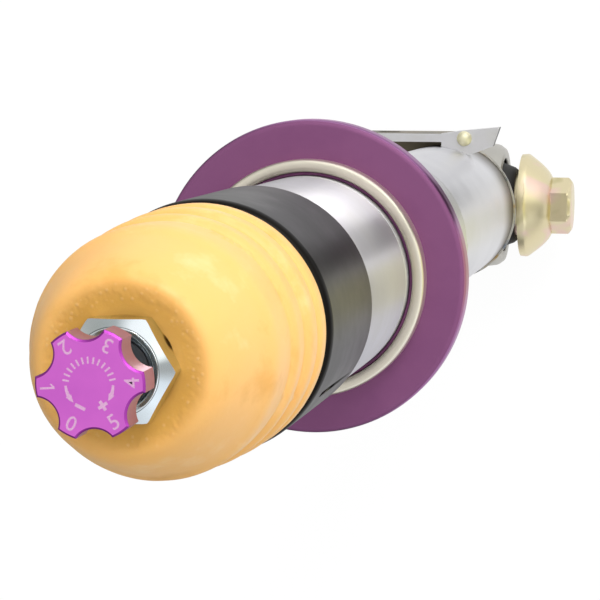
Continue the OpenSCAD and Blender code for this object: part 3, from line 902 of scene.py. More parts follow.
def weld_tree() -> Tree:
    """A rippled weld bead along the edges of a path.

    Returns:
        The geometry tree.
    """
    tree, start = new_tree(
        "weld_bead",
        {
            "Width": ("NodeSocketFloat", 0.0018),
            "Ripple": ("NodeSocketFloat", 0.0016),
            "Unevenness": ("NodeSocketFloat", 0.0003),
            "Seed": ("NodeSocketFloat", 3.0),
        },
    )
    put = start.outputs
    path = add_node(tree, "GeometryNodeMeshToCurve", {0: put["Geometry"]})
    along = add_node(tree, "GeometryNodeSplineParameter")
    beat = add_node(tree, "ShaderNodeMath", {0: along.outputs["Length"], 1: put["Ripple"]}, operation="DIVIDE")
    phase = add_node(tree, "ShaderNodeMath", {0: beat, 1: 2 * math.pi}, operation="MULTIPLY")
    wave = add_node(tree, "ShaderNodeMath", {0: phase}, operation="SINE")
    swell = add_node(tree, "ShaderNodeMath", {0: wave, 1: 0.1, 2: 1.0}, operation="MULTIPLY_ADD")
    sized = add_node(tree, "GeometryNodeSetCurveRadius", {"Curve": path, "Radius": swell})
    section = add_node(tree, "GeometryNodeCurvePrimitiveCircle", {"Resolution": 14, "Radius": put["Width"]})
    bead = add_node(tree, "GeometryNodeCurveToMesh", {"Curve": sized, "Profile Curve": section})
    lumps = add_node(
        tree, "ShaderNodeTexNoise", {"Scale": 350.0, "Detail": 2.0, "W": put["Seed"]}, noise_dimensions="4D"
    )
    centred = add_node(tree, "ShaderNodeMath", {0: lumps, 1: 0.5}, operation="SUBTRACT")
    push = add_node(tree, "ShaderNodeMath", {0: centred, 1: put["Unevenness"]}, operation="MULTIPLY")
    normal = add_node(tree, "GeometryNodeInputNormal")
    offset = add_node(tree, "ShaderNodeVectorMath", {0: normal, "Scale": push}, operation="SCALE")
    moved = add_node(tree, "GeometryNodeSetPosition", {"Geometry": bead, "Offset": offset})
    smooth = add_node(tree, "GeometryNodeSetShadeSmooth", {"Geometry": moved})
    return end_tree(tree, start, smooth.outputs[0])


def hole_ring_tree() -> Tree:
    """Drills a ring of blind holes into the side of a hub.

    Returns:
        The geometry tree.
    """
    tree, start = new_tree(
        "spanner_holes",
        {
            "Count": ("NodeSocketInt", 8),
            "Hub Radius": ("NodeSocketFloat", 0.033),
            "Height": ("NodeSocketFloat", 0.257),
            "Hole Radius": ("NodeSocketFloat", 0.0025),
            "Depth": ("NodeSocketFloat", 0.004),
            "Half Step": ("NodeSocketFloat", math.pi / 8),
        },
    )
    put = start.outputs
    span = add_node(tree, "ShaderNodeMath", {0: put["Depth"], 1: 2.0}, operation="MULTIPLY")
    drill = add_node(
        tree,
        "GeometryNodeMeshCylinder",
        {"Vertices": 32, "Side Segments": 1, "Radius": put["Hole Radius"], "Depth": span},
    )
    lying = add_node(tree, "GeometryNodeTransform", {"Geometry": drill, "Rotation": (0.0, math.pi / 2, 0.0)})
    ring = add_node(
        tree, "GeometryNodeMeshCircle", {"Vertices": put["Count"], "Radius": put["Hub Radius"]}, fill_type="NONE"
    )
    lift = add_node(tree, "ShaderNodeCombineXYZ", {2: put["Height"]})
    spin = add_node(tree, "ShaderNodeCombineXYZ", {2: put["Half Step"]})
    placed = add_node(tree, "GeometryNodeTransform", {"Geometry": ring, "Translation": lift, "Rotation": spin})
    here = add_node(tree, "GeometryNodeInputPosition")
    flat = add_node(tree, "ShaderNodeVectorMath", {0: here, 1: (1.0, 1.0, 0.0)}, operation="MULTIPLY")
    aim = add_node(tree, "FunctionNodeAlignRotationToVector", {"Vector": flat}, axis="X", pivot_axis="Z")
    drills = add_node(tree, "GeometryNodeInstanceOnPoints", {"Points": placed, "Instance": lying, "Rotation": aim})
    solid = add_node(tree, "GeometryNodeRealizeInstances", {0: drills})
    drilled = add_node(
        tree, "GeometryNodeMeshBoolean", {"Mesh 1": put["Geometry"], "Mesh 2": solid}, operation="DIFFERENCE"
    )
    return end_tree(tree, start, drilled.outputs[0])


def tick_tree() -> Tree:
    """Short radial ticks along an arc.

    Returns:
        The geometry tree.
    """
    tree, start = new_tree(
        "dial_ticks",
        {
            "Count": ("NodeSocketInt", 11),
            "Radius": ("NodeSocketFloat", 0.0044),
            "Sweep": ("NodeSocketFloat", 2.4),
            "Start": ("NodeSocketFloat", 0.4),
            "Long": ("NodeSocketFloat", 0.0012),
            "Wide": ("NodeSocketFloat", 0.0003),
            "Height": ("NodeSocketFloat", 0.4537),
        },
    )
    put = start.outputs
    arc = add_node(
        tree,
        "GeometryNodeCurveArc",
        {
            "Resolution": put["Count"],
            "Radius": put["Radius"],
            "Start Angle": put["Start"],
            "Sweep Angle": put["Sweep"],
        },
    )
    lift = add_node(tree, "ShaderNodeCombineXYZ", {2: put["Height"]})
    placed = add_node(tree, "GeometryNodeTransform", {"Geometry": arc, "Translation": lift})
    here = add_node(tree, "GeometryNodeInputPosition")
    flat = add_node(tree, "ShaderNodeVectorMath", {0: here, 1: (1.0, 1.0, 0.0)}, operation="MULTIPLY")
    aim = add_node(tree, "FunctionNodeAlignRotationToVector", {"Vector": flat}, axis="X", pivot_axis="Z")
    tick = add_node(
        tree, "GeometryNodeMeshGrid", {"Size X": put["Long"], "Size Y": put["Wide"], "Vertices X": 2, "Vertices Y": 2}
    )
    ticks = add_node(tree, "GeometryNodeInstanceOnPoints", {"Points": placed, "Instance": tick, "Rotation": aim})
    return end_tree(tree, start, ticks.outputs[0])


# --------------------------------------------------------------------------- pieces of the strut


@dataclass
class BumpStop:
    """Foam bump stop: ribbed base, waist, domed front and a dish for the nut."""

    base_z: float = 376.0
    segments: int = 360
    seat: tuple[tuple[float, float], ...] = ((9.3, 427.9), (9.3, 376.0), (18.0, 376.0), (25.2, 376.0))
    # from the base up: each rib swells, ends in a rounded front lip and drops into a crease
    ribs: tuple[tuple[float, float], ...] = (
        (25.75, 376.3), (26.12, 377.0), (26.34, 378.2), (26.4, 379.8), (26.4, 381.2), (26.2, 382.0),
        (25.8, 382.4), (25.5, 382.8), (25.5, 383.3), (25.75, 384.2), (26.05, 385.8), (26.2, 387.8),
        (26.22, 389.6), (26.1, 390.5), (25.75, 391.2), (25.2, 391.6), (24.85, 391.9),
        (24.78, 392.5), (25.0, 393.8), (25.35, 395.8), (25.6, 398.0), (25.68, 399.9),
        (25.55, 400.8), (25.2, 401.5), (24.75, 401.9), (24.4, 402.3), (24.36, 403.0), (24.5, 404.4),
        (24.68, 406.2), (24.76, 408.0),
    )
    front: tuple[tuple[float, float], ...] = (
        (24.74, 411.0), (24.68, 413.2), (24.5, 414.6), (24.1, 415.8), (23.5, 417.0), (22.8, 418.8),
        (21.9, 421.6), (20.9, 424.8), (19.9, 427.8), (18.9, 430.3), (17.9, 432.2), (16.9, 433.4),
        (16.0, 433.9), (15.1, 434.0), (14.2, 433.9), (13.2, 433.7), (12.2, 433.5), (11.4, 433.3),
        (10.8, 433.1), (10.2, 432.8), (9.7, 432.5), (9.35, 432.2), (9.3, 431.6), (9.3, 428.6),
    )
    # azimuth in degrees, height, swell and size in mm of the flash left at the mould's parting
    flash: tuple[tuple[float, float, float, float], ...] = (
        (57.4, 405.4, 0.55, 0.6), (61.0, 406.2, 0.45, 0.5), (54.5, 404.0, 0.5, 0.55),
        (66.0, 406.6, 0.35, 0.6), (49.0, 402.5, 0.4, 0.5), (-25.0, 394.8, 0.5, 0.6),
        (-21.0, 403.0, 0.4, 0.6),
    )
    # height above which the foam is the dish round the nut, and the radius inside which its skin keeps still
    dish_z: float = 428.3
    still_r: float = 11.6
    # the dish's wall, which has the crumbs: middle, half width and how soon the crumbs are full
    wall_r: float = 13.9
    wall_half: float = 2.2
    wall_fill: float = 1.6
    # the painted shade in the dish: where it starts and over what width it comes in
    dish_shade_r: float = 18.0
    dish_shade_fade: float = 6.0
    # noise scale per mm and height of the skin's waves and of the lumps on the dish's wall
    wave: tuple[float, float] = (0.11, 0.06)
    lump: tuple[float, float] = (0.9, 0.1)
    # the foam gapes along one flat of the nut: middle and half width in degrees, radius, end and fade
    gape_deg: float = 30.5
    gape_half: float = 13.0
    gape_r: float = 9.8
    gape_end: float = 12.0
    gape_fade: float = 1.4

    def profile(self) -> list[tuple[float, float]]:
        """The closed profile, smoothed between its named points.

        Returns:
            Radius and height of each point, in millimetres.
        """
        rough = [self.seat[-1], *self.ribs, *self.front]
        dense: list[tuple[float, float]] = []
        for low, high in zip(rough, rough[1:]):
            for step in range(3):
                share = step / 3
                dense.append((low[0] + (high[0] - low[0]) * share, low[1] + (high[1] - low[1]) * share))
        dense.append(rough[-1])
        for _ in range(2):
            inner = [
                ((a[0] + 2 * b[0] + c[0]) / 4, (a[1] + 2 * b[1] + c[1]) / 4)
                for a, b, c in zip(dense, dense[1:], dense[2:])
            ]
            dense = [dense[0], *inner, dense[-1]]
        return [*self.seat[:-1], *dense]

    def build(self) -> Piece:
        """Turns the foam, waves its skin and lets it gape at one flat of the nut.

        Returns:
            The foam piece, riding on the rod.
        """
        foam = turned("foam_bump_stop", self.profile(), FOAM, segments=self.segments)
        cells = foam.data.attributes.new("open_cells", "FLOAT", "POINT")
        dish_shade = foam.data.attributes.new("painted_dish_shade", "FLOAT", "POINT")
        normals = [vertex.normal.copy() for vertex in foam.data.vertices]
        for vertex, normal in zip(foam.data.vertices, normals):
            place = vertex.co / MM
            radius = math.hypot(place.x, place.y)
            in_dish = place.z > self.dish_z
            wall = max(0.0, 1.0 - abs(radius - self.wall_r) / self.wall_half) if in_dish else 0.0
            cells.data[vertex.index].value = min(1.0, wall * self.wall_fill)
            # painted shade: the dish darkens towards the nut
            shade_share = min(1.0, max(0.0, (self.dish_shade_r - radius) / self.dish_shade_fade)) if in_dish else 0.0
            dish_shade.data[vertex.index].value = shade_share * shade_share * (3 - 2 * shade_share)
            if radius > self.still_r and place.z > self.base_z + 0.5:
                push = noise.fractal(place * self.wave[0], 0.8, 2.0, 3) * self.wave[1]
                push += noise.fractal(place * self.lump[0], 0.6, 2.0, 3) * self.lump[1] * wall
                for azimuth, height, swell, size in self.flash:
                    turn = math.radians(azimuth)
                    gap = (place - Vector((radius * math.cos(turn), radius * math.sin(turn), height))).length
                    push += swell * math.exp(-((gap / size) ** 2))
                vertex.co += normal * push * MM
            off = (math.degrees(math.atan2(place.y, place.x)) - self.gape_deg) / self.gape_half
            if in_dish and radius < self.gape_end and abs(off) < 1:
                share = (1 - off * off) * min(1.0, (self.gape_end - radius) / self.gape_fade)
                reach = radius + share * max(0.0, self.gape_r - radius)
                vertex.co.x *= reach / radius
                vertex.co.y *= reach / radius
        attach(foam, "rod")
        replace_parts(foam, "bump_stop")
        return foam


@dataclass
class TubeBody:
    """Polished outer tube with its thread, its cap and the welded foot."""

    r: float = 26.0
    bore: float = 22.0
    foot_r: float = 24.0
    foot_z: float = 34.0
    thread_low: float = 166.0
    thread_high: float = 278.0
    top_z: float = 371.5
    pitch: float = 2.5
    ridge: float = 0.55
    ridge_root: float = 2.0
    ridge_crest: float = 0.75
    thread_facets: int = 96
    cap_r: float = 26.87
    cap_low: float = 329.0
    cap_high: float = 376.0
    rod_hole: float = 9.6
    roll: float = 3.0
    slot_deg: float = -33.0
    slot_low: float = 351.0
    slot_high: float = 365.5
    slot_wide: float = 1.3
    eye_r: float = 23.0
    eye_bore: float = 19.7
    eye_half: float = 17.0
    lip: float = 1.0
    lip_r: float = 17.2
    neck_r: float = 18.0
    # half widths of the weld beads, their unevenness and the points along each
    eye_weld: float = 1.7
    foot_weld: float = 0.75
    weld_lump: float = 0.4
    weld_points: int = 240

    def build(self) -> list[Piece]:
        """Builds the tube, thread, cap, foot, eye and weld beads.

        Returns:
            The pieces, all riding on the damper body.
        """
        core = self.r - self.ridge
        tube = turned(
            "tube_skin",
            rounded(
                [
                    Corner(self.bore, self.foot_z),
                    Corner(self.foot_r, self.foot_z, 0.3),
                    Corner(self.foot_r, self.thread_low - 4.0, 1.5),
                    Corner(core, self.thread_low - 1.2, 0.8),
                    Corner(core, self.thread_high - 0.8, 0.2),
                    Corner(self.r, self.thread_high, 0.4),
                    Corner(self.r, self.top_z, 0.7),
                    Corner(self.bore, self.top_z),
                ]
            ),
            STAINLESS,
            segments=192,
        )
        thread = grown(
            "tube_thread",
            thread_tree(),
            {
                "Radius": core * MM,
                "Low": self.thread_low * MM,
                "Length": (self.thread_high - self.thread_low - 1.5) * MM,
                "Pitch": self.pitch * MM,
                "Depth": (self.ridge - 0.03) * MM,
                "Root": self.ridge_root * MM,
                "Crest": self.ridge_crest * MM,
                "Facets": self.thread_facets,
            },
            STAINLESS_THREAD,
        )
        tube.data.materials.append(STAINLESS_SATIN.material())
        for face in tube.data.polygons:
            if face.center.z < self.thread_low * MM:
                face.material_index = 1
        for piece in (tube, thread):
            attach(piece, "damper_body")
        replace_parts(tube, "outer_tube")
        return [tube, thread, self.cap(), self.eye(), *self.welds()]

    def cap(self) -> Piece:
        """The black cap, with a rolled front edge and a drawn lip at the back.

        Returns:
            The cap, riding on the damper body.
        """
        cap = turned(
            "tube_cap_skin",
            rounded(
                [
                    Corner(self.rod_hole, self.cap_high - 4.0, 0.4),
                    Corner(self.r + 0.02, self.cap_high - 4.0, 0.5),
                    Corner(self.r + 0.02, self.cap_low),
                    Corner(self.cap_r, self.cap_low, 0.35),
                    Corner(self.cap_r, self.cap_high, self.roll),
                    Corner(self.rod_hole, self.cap_high, 0.5),
                ],
                steps=6,
            ),
            BLACK_CAP,
            segments=224,
        )
        mesh = bmesh.new()
        bmesh.ops.create_cube(mesh, size=1.0)
        high = (self.slot_low + self.slot_high) / 2
        mesh.transform(
            Matrix.Rotation(math.radians(self.slot_deg), 4, "Z")
            @ Matrix.Translation(Vector((self.cap_r + 0.4, 0, high)) * MM)
            @ Matrix.Diagonal((2.0 * MM, self.slot_wide * MM, (self.slot_high - self.slot_low) * MM, 1.0))
        )
        cap.data.materials.append(BLACK_ROLL_SHADE.material())
        # painted shade: the rolled front gets the darker black
        for face in cap.data.polygons:
            if face.center.z > (self.cap_high - self.roll - 0.4) * MM:
                face.material_index = 1
        cutter = object_from("cap_cutter", mesh, BLACK_ROLL_SHADE)
        cut = cap.modifiers.new("slot", "BOOLEAN")
        cut.object = cutter
        cut.solver = "EXACT"
        plain(cap)
        bpy.data.objects.remove(cutter)
        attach(cap, "damper_body")
        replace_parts(cap, "tube_cap")
        return cap

    def eye(self) -> Piece:
        """The eye ring with rolled lips.

        Returns:
            The ring, riding on the damper body.
        """
        ring = turned(
            "eye_ring_skin",
            rounded(
                [
                    Corner(self.eye_bore, -self.eye_half + self.lip),
                    Corner(self.lip_r, -self.eye_half + self.lip, 0.3),
                    Corner(self.lip_r, -self.eye_half, 0.4),
                    Corner(self.eye_r - 2.4, -self.eye_half, 0.9),
                    Corner(self.eye_r - 0.7, -self.eye_half + 2.2, 3.0),
                    Corner(self.eye_r, -self.eye_half + 7.0, 4.0),
                    Corner(self.eye_r, self.eye_half - 7.0, 4.0),
                    Corner(self.eye_r - 0.7, self.eye_half - 2.2, 3.0),
                    Corner(self.eye_r - 2.4, self.eye_half, 0.9),
                    Corner(self.lip_r, self.eye_half, 0.4),
                    Corner(self.lip_r, self.eye_half - self.lip, 0.3),
                    Corner(self.eye_bore, self.eye_half - self.lip),
                ]
            ),
            STAINLESS_BRUSHED,
            axis=Axis.BOLT,
        )
        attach(ring, "damper_body")
        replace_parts(ring, "eye_ring")
        return ring

    def welds(self) -> list[Piece]:
        """Weld beads between the foot and the eye, and between the tube and the foot.

        Returns:
            The beads, riding on the damper body.
        """
        tree = weld_tree()
        saddle, seam = [], []
        for step in range(self.weld_points):
            angle = 2 * math.pi * step / self.weld_points
            x, y = self.neck_r * math.cos(angle), self.neck_r * math.sin(angle)
            saddle.append((x, y, math.sqrt(self.eye_r**2 - y**2)))
            seam.append((self.foot_r * math.cos(angle), self.foot_r * math.sin(angle), self.foot_z))
        beads = []
        for name, path, width in (("weld_eye", saddle, self.eye_weld), ("weld_foot", seam, self.foot_weld)):
            base = bpy.data.meshes.new(name)
            links = [(index, (index + 1) % len(path)) for index in range(len(path))]
            base.from_pydata([Vector(point) * MM for point in path], links, [])
            bead = grown(name, tree, {"Width": width * MM, "Unevenness": self.weld_lump * MM}, WELD, base)
            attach(bead, "damper_body")
            beads.append(bead)
        return beads


@dataclass
class Perch:
    """Spring perch: threaded hub, spring flange, collar and the polished locator ring."""

    bore: float = 26.05
    hub_r: float = 33.0
    flange_r: float = 39.98
    collar_r: float = 26.9
    seat_z: float = 270.9
    flange_h: float = 6.5
    hub_h: float = 14.0
    collar_h: float = 2.2
    recess: float = 0.5
    ring_r: float = 30.1
    crest_r: float = 28.7
    ring_h: float = 4.3
    # fall of the ring's outer and inner shoulder, and the power that squares its section
    shoulders: tuple[float, float] = (1.6, 1.4)
    squared: float = 0.65
    arc_steps: int = 14
    holes: int = 8
    hole_r: float = 2.5
    hole_depth: float = 4.0
    # width of the flange's polished rim, which has the painted highlight
    rim: float = 1.6

    def build(self) -> list[Piece]:
        """Builds the perch with its spanner holes, and the ring.

        Returns:
            The perch and the ring.
        """
        low = self.seat_z - self.flange_h
        foot = low - self.hub_h
        body = turned(
            "perch_blank",
            rounded(
                [
                    Corner(self.bore, foot, 0.5),
                    Corner(self.hub_r, foot, 0.7),
                    Corner(self.hub_r, low, 0.8),
                    Corner(self.flange_r, low, 0.8),
                    Corner(self.flange_r, self.seat_z, 1.5),
                    Corner(self.ring_r - 0.3, self.seat_z),
                    Corner(self.ring_r - 0.3, self.seat_z - self.recess),
                    Corner(self.collar_r, self.seat_z - self.recess),
                    Corner(self.collar_r, self.seat_z + self.collar_h, 0.25),
                    Corner(self.bore, self.seat_z + self.collar_h, 0.25),
                ]
            ),
            VIOLET,
            segments=192,
        )
        perch = grown(
            "perch_skin",
            hole_ring_tree(),
            {
                "Count": self.holes,
                "Hub Radius": self.hub_r * MM,
                "Height": (foot + self.hub_h / 2) * MM,
                "Hole Radius": self.hole_r * MM,
                "Depth": self.hole_depth * MM,
                "Half Step": math.pi / self.holes,
            },
            VIOLET,
            body.data,
        )
        perch.data.materials.append(VIOLET_RIM_HIGHLIGHT.material())
        # painted highlight: the rim's faces get the paler violet
        for face in perch.data.polygons:
            out = math.hypot(face.center.x, face.center.y) > (self.flange_r - self.rim) * MM
            if out and face.normal.z < 0.8:
                face.material_index = 1
        perch.data.set_sharp_from_angle(angle=math.radians(SHARP_DEG))
        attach(perch, "perch")
        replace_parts(perch, "spring_perch")
        foot_z, crest_z = self.seat_z - self.recess, self.seat_z + self.ring_h
        section = [(self.collar_r + 0.05, foot_z), (self.ring_r - 0.35, foot_z), (self.ring_r, foot_z + 0.6)]
        sides = zip(self.shoulders, (0, 90), (self.ring_r, self.collar_r + 0.05))
        for fall, start, reach in sides:
            wide = abs(reach - self.crest_r)
            for step in range(self.arc_steps + 1):
                angle = math.radians(start + 90 * step / self.arc_steps)
                across = math.copysign(abs(math.cos(angle)) ** self.squared, math.cos(angle))
                height = crest_z - fall * (1 - math.sin(angle) ** self.squared)
                section.append((self.crest_r + wide * across, height))
        ring = turned("locator_skin", section, POLISHED_RING, segments=224)
        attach(ring, "locator")
        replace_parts(ring, "locator_ring")
        return [perch, ring]


@dataclass
class RodEnd:
    """Chromed rod and the nut that clamps the bump stop."""

    nut_z: float = 428.2
    nut_h: float = 10.5
    nut_af: float = 19.0
    stud_r: float = 6.0
    rest_deg: float = 0.5
    land_r: float = 8.2
    rod_r: float = 9.0
    rod_bore: float = 2.5
    rod_low: float = 128.1
    rod_shoulder: float = 162.5
    stud_shoulder: float = 426.2
    rod_top: float = 436.1
    bore_pitch: float = 1.25
    facets: int = 96

    def ring(self, z: float, r: float) -> list[tuple[float, float, float]]:
        """One round loop of the nut.

        Args:
            z: height of the loop.
            r: its radius.

        Returns:
            The loop's points.
        """
        start = math.radians(self.rest_deg)
        turns = [2 * math.pi * step / self.facets + start for step in range(self.facets)]
        return [(r * math.cos(turn), r * math.sin(turn), z) for turn in turns]

    def side(self, face_z: float, face_r: float, slope: float) -> list[tuple[float, float, float]]:
        """The loop where the nut's flats meet a chamfer cone.

        Args:
            face_z: height of the bearing face or front face.
            face_r: radius where the cone starts on that face.
            slope: change of height per radius, negative towards lower heights.

        Returns:
            The loop's points, which dip at the corners.
        """
        loop = []
        corner_r = self.nut_af / math.sqrt(3) - 0.12
        for step in range(self.facets):
            angle = 2 * math.pi * step / self.facets
            off = (angle + math.pi / 6) % (math.pi / 3) - math.pi / 6
            reach = min(self.nut_af / 2 / math.cos(math.pi / 6 - abs(off)), corner_r)
            turn = angle + math.radians(self.rest_deg)
            z = face_z + slope * max(0.0, reach - face_r)
            loop.append((reach * math.cos(turn), reach * math.sin(turn), z))
        return loop

    def build(self) -> list[Piece]:
        """Builds the nut with its threaded bore, and the rod.

        Returns:
            The pieces, riding on the rod.
        """
        top = self.nut_z + self.nut_h
        flat_r = self.nut_af / 2
        mesh = bmesh.new()
        loops = [
            self.ring(self.nut_z, flat_r - 0.3),
            self.side(self.nut_z + 0.1, flat_r - 0.3, 0.4),
            self.side(self.nut_z + 0.25, flat_r - 0.3, 0.4),
            self.side(top - 0.42, self.land_r, -0.5),
            self.side(top - 0.3, self.land_r + 0.04, -0.5),
            self.ring(top - 0.38, self.land_r + 0.2),
            self.ring(top - 0.32, self.land_r + 0.08),
            self.ring(top - 0.2, self.land_r + 0.01),
            self.ring(top - 0.08, self.land_r - 0.05),
            self.ring(top - 0.02, self.land_r - 0.14),
            self.ring(top, self.land_r - 0.26),
        ]
        # turned front: bright land, a fine groove, a second land and the countersink
        front = [(top, 7.82), (top - 0.14, 7.74), (top - 0.14, 7.64), (top - 0.02, 7.56), (top - 0.02, 7.3)]
        front += [(top - 0.12, 7.15), (top - 1.0, self.stud_r + 0.45)]
        depth = top - 1.1
        while depth > self.nut_z + 1.2:
            front.append((depth - self.bore_pitch * 0.5, self.stud_r + 0.05))
            depth -= self.bore_pitch
            front.append((depth, self.stud_r + 0.6))
        front.append((self.nut_z, self.stud_r + 0.6))
        loops += [self.ring(z, r) for z, r in front]
        rows = [[mesh.verts.new(Vector(point) * MM) for point in loop] for loop in loops]
        for low, high in zip(rows, rows[1:] + rows[:1]):
            for index in range(self.facets):
                following = (index + 1) % self.facets
                mesh.faces.new((low[index], low[following], high[following], high[index]))
        nut = object_from("nut_skin", mesh, ZINC, sharp_deg=22)
        nut.data.materials.append(DARK_STEEL_AND_SHADE.material())
        # painted shade: the nut's threaded bore gets the dark steel finish
        for face in nut.data.polygons:
            if math.hypot(face.center.x, face.center.y) < (self.stud_r + 0.62) * MM:
                face.material_index = 1
        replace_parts(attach(nut, "rod"), "rod_nut")
        rod = turned(
            "rod_skin",
            rounded(
                [
                    Corner(self.rod_bore, self.rod_low),
                    Corner(self.stud_r, self.rod_low, 0.7),
                    Corner(self.stud_r, self.rod_shoulder, 0.2),
                    Corner(self.rod_r, self.rod_shoulder, 0.3),
                    Corner(self.rod_r, self.stud_shoulder, 0.9),
                    Corner(self.stud_r, self.stud_shoulder, 0.2),
                    Corner(self.stud_r, self.rod_top, 0.8),
                    Corner(self.rod_bore, self.rod_top, 0.3),
                ]
            ),
            CHROME,
            segments=128,
        )
        rod.data.materials.append(DARK_STEEL_AND_SHADE.material())
        for face in rod.data.polygons:
            if face.center.z > (self.stud_shoulder + 1.0) * MM:
                face.material_index = 1
        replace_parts(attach(rod, "rod"), "piston_rod")
        return [nut, rod]


@dataclass
class Knob:
    """Lobed adjuster knob with its etched dial."""

    z: float = 447.4
    h: float = 6.3
    tip_r: float = 10.0
    waist_r: float = 7.8
    cut_r: float = 4.2
    lobes: int = 6
    bevel: float = 0.38
    rest_deg: float = 4.3
    stem_bore: float = 2.47
    digit_h: float = 2.7
    digit_r: float = 7.65
    arc_r: float = 4.3
    mark_lift: float = 0.012
    arc_steps: int = 14
    # how much the digits are thickened, as a share of their size
    digit_bold: float = 0.006
    # ticks: count, start and sweep in degrees, length and width
    ticks_count: int = 13
    ticks_start: float = 14.0
    ticks_sweep: float = 158.0
    tick_long: float = 1.2
    tick_wide: float = 0.34
    # share along an arrow and its half width there
    arrow: tuple[tuple[float, float], ...] = (
        (0, 0.25), (0.25, 0.3), (0.5, 0.36), (0.56, 0.36), (0.56, 0.62), (0.8, 0.34), (1, 0.02),
    )
    arrow_wide: float = 0.9
    # start and end of each arrow in degrees
    arrows: tuple[tuple[float, float], ...] = ((1, -38), (184, 228))
    # minus: place and turn in degrees, length and width
    minus: tuple[float, float, float, float] = (247, -24, 2.0, 0.62)
    # plus: place and turn in degrees, length and half width of an arm
    plus: tuple[float, float, float, float] = (304, 34, 0.95, 0.3)

    def outline(self, z: float, grow: float) -> list[tuple[float, float, float]]:
        """One loop of the lobed outline.

        Args:
            z: height of the loop.
            grow: how far the loop stands outside the knob's own outline.

        Returns:
            The loop's points, the same number for every grow.
        """
        reach = self.tip_r + grow
        far = self.waist_r + self.cut_r
        cut = self.cut_r - grow
        meet = math.acos((reach**2 + far**2 - cut**2) / (2 * reach * far))
        swing = math.acos((far**2 + cut**2 - reach**2) / (2 * far * cut))
        half = math.pi / self.lobes
        loop = []
        for lobe in range(self.lobes):
            middle = math.radians(self.rest_deg) + lobe * 2 * half
            for step in range(self.arc_steps):
                share = step / self.arc_steps
                angle = middle - (half - meet) + 2 * (half - meet) * share
                loop.append((reach * math.cos(angle), reach * math.sin(angle), z))
            notch = middle + half
            for step in range(self.arc_steps * 2):
                share = step / (self.arc_steps * 2)
                angle = notch + math.pi + swing - 2 * swing * share
                x = far * math.cos(notch) + cut * math.cos(angle)
                y = far * math.sin(notch) + cut * math.sin(angle)
                loop.append((x, y, z))
        return loop

    def build(self) -> list[Piece]:
        """Builds the knob and its marks.

        Returns:
            The pieces, riding on the adjuster.
        """
        top = self.z + self.h
        mesh = bmesh.new()
        levels = [
            (self.z, -0.3),
            (self.z + 0.04, -0.18),
            (self.z + 0.3, 0.0),
            (self.z + 0.45, 0.0),
            (top - self.bevel - 0.15, 0.0),
            (top - self.bevel, 0.0),
            (top - self.bevel * 0.82, -0.05),
            (top - 0.05, -self.bevel * 0.84),
            (top, -self.bevel * 1.05),
            (top, -self.bevel * 1.05 - 0.12),
        ]
        prism(mesh, [self.outline(z, grow) for z, grow in levels])
        knob = object_from("knob_skin", mesh, BRIGHT_VIOLET, sharp_deg=26)
        knob.data.materials.append(VIOLET_FLANK_SHADE.material())
        knob.data.materials.append(VIOLET_EDGE_SHADE.material())
        knob.data.materials.append(MACHINED.material())
        # painted shade: the flanks and the bevel get darker copies of the top's violet
        for face in knob.data.polygons:
            if face.center.z < (self.z + 0.1) * MM:
                face.material_index = 3
            elif face.center.z < (top - self.bevel - 0.16) * MM:
                face.material_index = 1
            elif face.center.z < (top - 0.01) * MM:
                face.material_index = 2
        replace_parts(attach(knob, "adjuster"), "adjuster_knob")
        return [knob, self.digits(), self.ticks(), self.signs()]

    def digits(self) -> Piece:
        """The digits 0 to 5, one on each lobe, with their tops to the middle.

        Returns:
            One flat mesh of all digits.
        """
        order = ("4", "3", "2", "1", "0", "5")
        mesh = bmesh.new()
        for index, digit in enumerate(order):
            curve = bpy.data.curves.new("digit", "FONT")
            curve.body = digit
            curve.resolution_u = 4
            curve.offset = self.digit_bold
            text = bpy.data.objects.new("digit", curve)
            bpy.context.scene.collection.objects.link(text)
            bpy.context.view_layer.update()
            shape = bpy.data.meshes.new_from_object(text.evaluated_get(bpy.context.evaluated_depsgraph_get()))
            bpy.data.objects.remove(text)
            if digit == "1":
                shape.clear_geometry()
                corners = [(0.2, 0), (0.34, 0), (0.34, 1), (0.22, 1), (0.0, 0.8), (0.0, 0.67), (0.2, 0.83)]
                shape.from_pydata([(x, y, 0.0) for x, y in corners], [], [range(len(corners))])
            points = [vertex.co for vertex in shape.vertices]
            low = Vector([min(p[i] for p in points) for i in range(3)])
            high = Vector([max(p[i] for p in points) for i in range(3)])
            size = self.digit_h * MM / (high.y - low.y)
            angle = math.radians(self.rest_deg + index * 60)
            place = Vector((math.cos(angle), math.sin(angle), 0)) * self.digit_r * MM
            place.z = (self.z + self.h + self.mark_lift) * MM
            shape.transform(
                Matrix.Translation(place)
                @ Matrix.Rotation(angle + math.pi / 2, 4, "Z")
                @ Matrix.Scale(size, 4)
                @ Matrix.Translation(-(low + high) / 2)
            )
            mesh.from_mesh(shape)
            bpy.data.meshes.remove(shape)
        return self.mark("knob_digits", mesh)

    def ticks(self) -> Piece:
        """Plain ticks over the upper half of the dial.

        Returns:
            The ticks as one flat mesh.
        """
        ticks = grown(
            "knob_ticks",
            tick_tree(),
            {
                "Count": self.ticks_count,
                "Radius": self.arc_r * MM,
                "Start": math.radians(self.ticks_start),
                "Sweep": math.radians(self.ticks_sweep),
                "Long": self.tick_long * MM,
                "Wide": self.tick_wide * MM,
                "Height": (self.z + self.h + self.mark_lift) * MM,
            },
            MARK,
        )
        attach(ticks, "adjuster")
        return ticks

    def signs(self) -> Piece:
        """Two curved arrows, a minus and a plus.

        Returns:
            The signs as one flat mesh.
        """
        mesh = bmesh.new()
        z = (self.z + self.h + self.mark_lift) * MM

